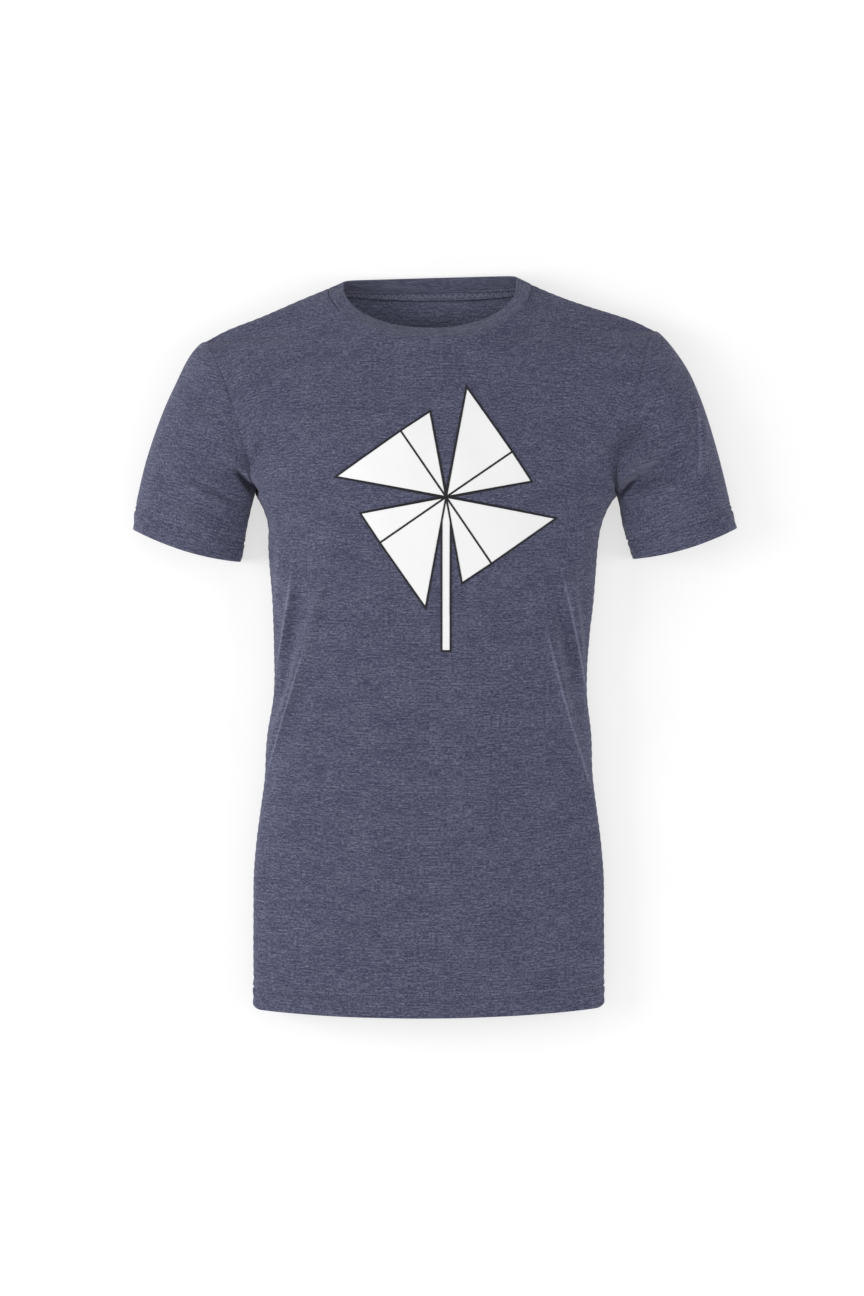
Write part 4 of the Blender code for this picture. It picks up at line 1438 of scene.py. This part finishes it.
def knit_group():
    """Height of jersey loops: slanted legs that meet in a V along each column of loops."""
    group, given, result = new_group(
        "knit_loops",
        [("Cloth", "NodeSocketVector", None), ("Wale", "NodeSocketFloat", 0.00095),
         ("Course", "NodeSocketFloat", 0.00075)],
        [("Height", "NodeSocketFloat")])
    parts = group.nodes.new("ShaderNodeSeparateXYZ")
    group.links.new(given.outputs["Cloth"], parts.inputs[0])
    wale = math_node(group, "DIVIDE", parts.outputs["X"], given.outputs["Wale"])
    course = math_node(group, "DIVIDE", parts.outputs["Y"], given.outputs["Course"])
    centred = math_node(group, "SUBTRACT", math_node(group, "FRACT", wale), 0.5)
    off_centre = math_node(group, "ABSOLUTE", centred)
    leg = math_node(group, "MULTIPLY_ADD", off_centre, 1.6, course)
    loops = math_node(group, "SINE", math_node(group, "MULTIPLY", leg, 2 * pi))
    trough = math_node(group, "COSINE", math_node(group, "MULTIPLY", off_centre, 4 * pi))
    height = math_node(group, "MULTIPLY_ADD", loops, 0.3, 0.5)
    height = math_node(group, "MULTIPLY_ADD", trough, -0.2, height)
    group.links.new(height, result.inputs["Height"])
    return group


knit_loops = knit_group()
print(knit_loops.name, "has", len(knit_loops.nodes), "nodes")

# %% [markdown]
# ## Materials
#
# Jersey, rib, tape and thread share the heather yarn with their own tones. The inks are smoother, but the
# loops still show through them. Cotton is matt with a faint bloom at grazing angles, so the sheen is set low
# on the shader itself. The patterns read the cloth's own UV map, so they follow folds and hems. The inner
# faces take a paler copy of the jersey, which is painted light that lifts the shade inside the shirt. The
# light streaks at the waist and on one sleeve are sharp creases: a small bump, and a painted highlight that
# lightens the yarn along each line. Each is a place, a slope, a bow, a half length, a half width and a
# strength.

# %% Tones and creases
KNIT_DEPTH = 0.0002
JERSEY_CONTRAST = 0.72
JERSEY_DARK = (0.043, 0.045, 0.088, 1.0)
JERSEY_PALE = (0.166, 0.170, 0.248, 1.0)
# A paler copy of the jersey for the inner faces: painted light that lifts the shade inside the shirt
PAINTED_LIGHT_INSIDE_DARK = (0.066, 0.069, 0.128, 1.0)
PAINTED_LIGHT_INSIDE_PALE = (0.235, 0.240, 0.340, 1.0)
RIB_DARK = (0.053, 0.055, 0.100, 1.0)
RIB_PALE = (0.188, 0.192, 0.272, 1.0)
TAPE_DARK = (0.074, 0.077, 0.130, 1.0)
TAPE_PALE = (0.190, 0.195, 0.280, 1.0)
INK_DEPTH = 0.00008
FRONT_CREASES = (
    (-0.1475, 0.0247, 0.165, 0.0, 0.045, 0.0009, 1.0),
    (-0.1468, -0.0662, 0.300, 0.15, 0.056, 0.0009, 1.1),
    (-0.1195, 0.0232, 0.238, 0.0, 0.046, 0.0040, 0.22),
    (-0.1560, 0.0700, 0.060, 0.0, 0.030, 0.0022, 0.30),
    (0.1475, 0.0110, -0.210, -0.3, 0.050, 0.0011, 1.2),
    (0.1390, -0.0660, -0.290, 0.35, 0.085, 0.0013, 0.8),
)
LEFT_SLEEVE_CREASES = ((0.2719, 0.212, -0.02, -1.2, 0.034, 0.0018, 0.6),)
# How strongly creases paint a highlight into the yarn's colour, and how high their bump is
CREASE_HIGHLIGHT = 0.85
CREASE_BUMP = 4.0


print(len(FRONT_CREASES + LEFT_SLEEVE_CREASES), "pressed creases")

# %% Parts of a material


def material(name, roughness, sheen):
    """A material with its shader and the cloth's map."""
    made = bpy.data.materials.new(name)
    made.use_nodes = True
    shader = made.node_tree.nodes["Principled BSDF"]
    shader.inputs["Roughness"].default_value = roughness
    shader.inputs["Sheen Weight"].default_value = sheen
    shader.inputs["Sheen Roughness"].default_value = 0.5
    shader.inputs["Specular IOR Level"].default_value = 0.15
    cloth = made.node_tree.nodes.new("ShaderNodeUVMap")
    cloth.uv_map = "cloth"
    return made, made.node_tree, shader, cloth.outputs["UV"]


def place_group(tree, group, **values):
    """Put a group in a material and set its inputs."""
    node = tree.nodes.new("ShaderNodeGroup")
    node.node_tree = group
    for label, value in values.items():
        if isinstance(value, bpy.types.NodeSocket):
            tree.links.new(value, node.inputs[label])
        else:
            node.inputs[label].default_value = value
    return node


def add_bump(tree, shader, height, depth, strength):
    """Bump from a height, with a real depth in metres."""
    bump = tree.nodes.new("ShaderNodeBump")
    bump.inputs["Strength"].default_value = strength
    bump.inputs["Distance"].default_value = depth
    tree.links.new(height, bump.inputs["Height"])
    tree.links.new(bump.outputs["Normal"], shader.inputs["Normal"])


def crease_masks(tree, creases):
    """All the sharp creases of one piece, added up."""
    place = tree.nodes.new("ShaderNodeTexCoord").outputs["Object"]
    total = 0.0
    for across, up, slope, bow, half_length, half_width, strength in creases:
        one = place_group(tree, crease_bump_and_highlight_mask, Place=place, **{
            "Middle X": across, "Middle Y": up, "Slope": slope, "Bow": bow,
            "Half Length": half_length, "Half Width": half_width}).outputs["Mask"]
        total = math_node(tree, "MULTIPLY_ADD", one, strength, total)
    return total


print("groups to place:", [group.name for group in bpy.data.node_groups])

# %% Knit and ink


def jersey_material(name, dark, pale, contrast, depth, creases=()):
    """Heathered knit. A sharp crease is a small bump, with a highlight painted into the yarn's colour along
    it.
    """
    made, tree, shader, cloth = material(name, 0.9, 0.18)
    yarn = place_group(tree, heather_yarn, Cloth=cloth, Dark=dark, Pale=pale, Contrast=contrast)
    loops = place_group(tree, knit_loops, Cloth=cloth)
    tree.links.new(yarn.outputs["Color"], shader.inputs["Base Color"])
    height = math_node(tree, "MULTIPLY_ADD", yarn.outputs["Fleck"], 0.35, loops.outputs["Height"])
    if creases:
        pressed = crease_masks(tree, creases)
        # The crease mask lightens the yarn's colour, which paints a highlight along each crease
        tree.links.new(math_node(tree, "MULTIPLY", pressed, CREASE_HIGHLIGHT), yarn.inputs["Painted Highlight"])
        height = math_node(tree, "MULTIPLY_ADD", pressed, CREASE_BUMP, height)
    add_bump(tree, shader, height, depth, 0.5)
    roughness = math_node(tree, "MULTIPLY_ADD", yarn.outputs["Fleck"], -0.12, 0.95)
    tree.links.new(roughness, shader.inputs["Roughness"])
    return made


def ink_material(name, dark, pale, roughness, depth):
    """Ink that lets the loops of the cloth show."""
    made, tree, shader, cloth = material(name, roughness, 0.0)
    loops = place_group(tree, knit_loops, Cloth=cloth)
    mottle = stretched_noise(tree, cloth, (240, 240, 1), 2.0)
    share = math_node(tree, "MULTIPLY", mottle, 0.5)
    share = math_node(tree, "MULTIPLY_ADD", loops.outputs["Height"], 0.5, share)
    tree.links.new(tone_blend(tree, share, dark, pale), shader.inputs["Base Color"])
    add_bump(tree, shader, loops.outputs["Height"], depth, 0.4)
    rough = math_node(tree, "MULTIPLY_ADD", mottle, 0.12, roughness - 0.06)
    tree.links.new(rough, shader.inputs["Roughness"])
    return made


jersey, front_jersey, sleeve_jersey = [
    jersey_material(name, JERSEY_DARK, JERSEY_PALE, JERSEY_CONTRAST, KNIT_DEPTH, creases)
    for name, creases in (("heathered_jersey", ()), ("front_jersey_crease_highlights", FRONT_CREASES),
                          ("sleeve_jersey_crease_highlights", LEFT_SLEEVE_CREASES))]
# The inner faces get a paler jersey, which paints light into the shade inside the shirt
inside_jersey_painted_light = jersey_material("jersey_inside_painted_light", PAINTED_LIGHT_INSIDE_DARK, PAINTED_LIGHT_INSIDE_PALE, 0.60, KNIT_DEPTH)
rib_knit = jersey_material("heathered_rib", RIB_DARK, RIB_PALE, 0.60, 0.00015)
tape_weave = jersey_material("tape_weave", TAPE_DARK, TAPE_PALE, 0.70, 0.0001)
white_ink = ink_material("white_print_ink", (0.95, 0.95, 0.955, 1), (0.99, 0.99, 1.0, 1), 0.6, INK_DEPTH)
black_ink = ink_material("black_print_ink", (0.009, 0.009, 0.011, 1), (0.022, 0.022, 0.026, 1), 0.5,
                         INK_DEPTH)


print("materials so far:", len(bpy.data.materials))

# %% Thread, and a look for each piece


def thread_material(name, dark, pale):
    """Thread: two tones of fibre in a fine twist, on plain object coordinates."""
    made, tree, shader, _ = material(name, 0.7, 0.15)
    place = tree.nodes.new("ShaderNodeTexCoord").outputs["Object"]
    twist = stretched_noise(tree, place, (2400, 2400, 2400), 1.0)
    tree.links.new(tone_blend(tree, twist, dark, pale), shader.inputs["Base Color"])
    return made


hem_thread = thread_material("hem_thread", (0.014, 0.015, 0.030, 1), (0.040, 0.042, 0.074, 1))
hem_thread_pale = thread_material("pale_hem_thread", (0.140, 0.144, 0.210, 1), (0.320, 0.325, 0.420, 1))
tape_thread = thread_material("tape_thread", (0.20, 0.20, 0.28, 1), (0.40, 0.40, 0.48, 1))

for thing, look in (
    (front_cloth, front_jersey), (back_cloth, jersey),
    (left_sleeve_cloth, sleeve_jersey), (right_sleeve_cloth, jersey),
    (neck_rib_knit, rib_knit), (neck_tape_weave, tape_weave),
    (white_print, white_ink), (line_print, black_ink),
    (body_stitches, hem_thread), (left_stitches, hem_thread), (right_stitches, hem_thread),
    (tape_stitches_and_shadow_row, tape_thread),
):
    second = np.array([face.material_index for face in thing.data.polygons], dtype=np.int32)
    thing.data.materials.clear()
    thing.data.materials.append(look)
    if look is hem_thread:
        thing.data.materials.append(hem_thread_pale)
    elif look is tape_thread:
        # The tape's second, dark thread colours the row that paints the shadow line under the tape
        thing.data.materials.append(hem_thread)
    elif thing in (front_cloth, back_cloth, left_sleeve_cloth, right_sleeve_cloth):
        # The inner faces take the paler jersey copy, which is painted light for the shaded inside
        thing.data.materials.append(inside_jersey_painted_light)
    else:
        second = second * 0
    thing.data.polygons.foreach_set("material_index", second)
    print(thing.name, "looks like", ", ".join(look.name for look in thing.data.materials))

# %% [markdown]
# ## Joining the pieces to the frame
#
# The shirt has no joints, so every piece rides on the one body. Each piece that stands for a CAD solid
# hides that solid.

# %% Ride and replace


def belongs(thing, slot_name, *nodes):
    """Ride on the body, and stand for CAD nodes, which are hidden. The slot name is not used."""
    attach(thing, "root")
    if nodes:
        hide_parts(*nodes)


belongs(front_cloth, "heather_jersey", "front_panel")
belongs(back_cloth, "heather_jersey", "back_panel")
belongs(left_sleeve_cloth, "heather_jersey", "left_sleeve")
belongs(right_sleeve_cloth, "heather_jersey", "right_sleeve")
belongs(neck_rib_knit, "heather_rib", "neck_rib")
belongs(neck_tape_weave, "neck_tape", "neck_tape")
belongs(white_print, "white_ink", "print_white")
belongs(line_print, "black_ink", "print_lines")
for thing in (body_stitches, left_stitches, right_stitches):
    belongs(thing, "heather_jersey")
belongs(tape_stitches_and_shadow_row, "neck_tape")


# %% [markdown]
# ## Floor, light and camera
#
# Low soft lamps at both sides and a weak one at the foot model the folds. The left one, in the picture, is
# the brightest, and an even glow from all round keeps the shadows pale. A surface that faces up gets just
# enough light to render about as its colour is written. The floor and the sky look white to the camera and in
# reflections, where Light Path gives them a glow of their own, so no more light falls on the shirt for it.
# Near the shirt the floor's glow is weaker, and it keeps the shirt's shadow. The camera looks straight down,
# from far enough that the shirt hardly changes shape.

# %% Floor
FLOOR_SIZE = 14.0
FLOOR_Z = -0.0004
PAPER_LIT = (0.88, 0.88, 0.88, 1.0)
PAPER_SEEN = (0.46, 0.46, 0.46, 1.0)
PAPER_GLOW = 0.60
PAPER_FADE_START = 0.60
PAPER_FADE_WIDTH = 0.90


def seen_rays(tree):
    """1 for rays from the camera, from a reflection or through glass, and 0 for the light that falls."""
    rays = tree.nodes.new("ShaderNodeLightPath")
    seen = math_node(tree, "MAXIMUM", rays.outputs["Is Camera Ray"], rays.outputs["Is Glossy Ray"])
    return math_node(tree, "MAXIMUM", seen, rays.outputs["Is Transmission Ray"])


bpy.ops.object.select_all(action="DESELECT")
bpy.ops.mesh.primitive_plane_add(size=FLOOR_SIZE, location=(0, 0, FLOOR_Z))
floor = bpy.context.object
floor.name = "floor"
paper = bpy.data.materials.new("white_paper")
paper.use_nodes = True
tree = paper.node_tree
paper_shader = tree.nodes["Principled BSDF"]
paper_shader.inputs["Roughness"].default_value = 0.9
paper_shader.inputs["Specular IOR Level"].default_value = 0.1
paper_shader.inputs["Emission Color"].default_value = (1, 1, 1, 1)
seen = seen_rays(tree)
tree.links.new(tone_blend(tree, seen, PAPER_LIT, PAPER_SEEN), paper_shader.inputs["Base Color"])
distance = tree.nodes.new("ShaderNodeVectorMath")
distance.operation = "LENGTH"
tree.links.new(tree.nodes.new("ShaderNodeTexCoord").outputs["Object"], distance.inputs[0])
far = math_node(tree, "MULTIPLY_ADD", distance.outputs["Value"],
                1 / PAPER_FADE_WIDTH, -PAPER_FADE_START / PAPER_FADE_WIDTH)
far.node.use_clamp = True
glow = math_node(tree, "MULTIPLY_ADD", far, 1 - PAPER_GLOW, PAPER_GLOW)
tree.links.new(math_node(tree, "MULTIPLY", seen, glow), paper_shader.inputs["Emission Strength"])
floor.data.materials.append(paper)
print("floor", FLOOR_SIZE, "m across, at", FLOOR_Z)

# %% Light
SKY_GLOW = 0.49
LAMP_SIZE = 1.4

scene = bpy.context.scene
scene.view_settings.view_transform = "Standard"
world = bpy.data.worlds.new("studio")
world.use_nodes = True
sky = world.node_tree.nodes["Background"]
sky.inputs["Color"].default_value = (1, 1, 1, 1)
world.node_tree.links.new(
    math_node(world.node_tree, "MULTIPLY_ADD", seen_rays(world.node_tree), 1 - SKY_GLOW, SKY_GLOW),
    sky.inputs["Strength"])
scene.world = world


def soft_light(name, place, power):
    """A square lamp that points at the middle of the shirt."""
    lamp = bpy.data.lights.new(name, "AREA")
    lamp.size = LAMP_SIZE
    lamp.energy = power
    made = bpy.data.objects.new(name, lamp)
    made.location = place
    aim = np.zeros(3) - np.array(place)
    made.rotation_euler = Vector(aim.tolist()).to_track_quat("-Z", "Y").to_euler()
    bpy.context.scene.collection.objects.link(made)


for name, place, power in (
    ("left_soft_box", (-2.4, 0.1, 1.2), 50), ("right_soft_box", (2.4, 0.0, 1.2), 24),
    ("foot_soft_box", (0.0, -2.4, 1.2), 8),
):
    soft_light(name, place, power)
print("lamps:", [lamp.name for lamp in bpy.data.lights])

# %% Camera
CAMERA_HEIGHT = 3.2
CAMERA_ACROSS = 0.002
METRES_PER_PIXEL = 0.001012
IMAGE_TALL = 1296
SENSOR_WIDTH = 36.0

camera_data = bpy.data.cameras.new("camera")
camera_data.sensor_width = SENSOR_WIDTH
camera_data.lens = SENSOR_WIDTH * (CAMERA_HEIGHT - SEAM_HEIGHT) / (IMAGE_TALL * METRES_PER_PIXEL)
camera = bpy.data.objects.new("camera", camera_data)
camera.location = (CAMERA_ACROSS, 0.0, CAMERA_HEIGHT)
scene.collection.objects.link(camera)
scene.camera = camera
print("lens", round(camera_data.lens, 1), "mm")
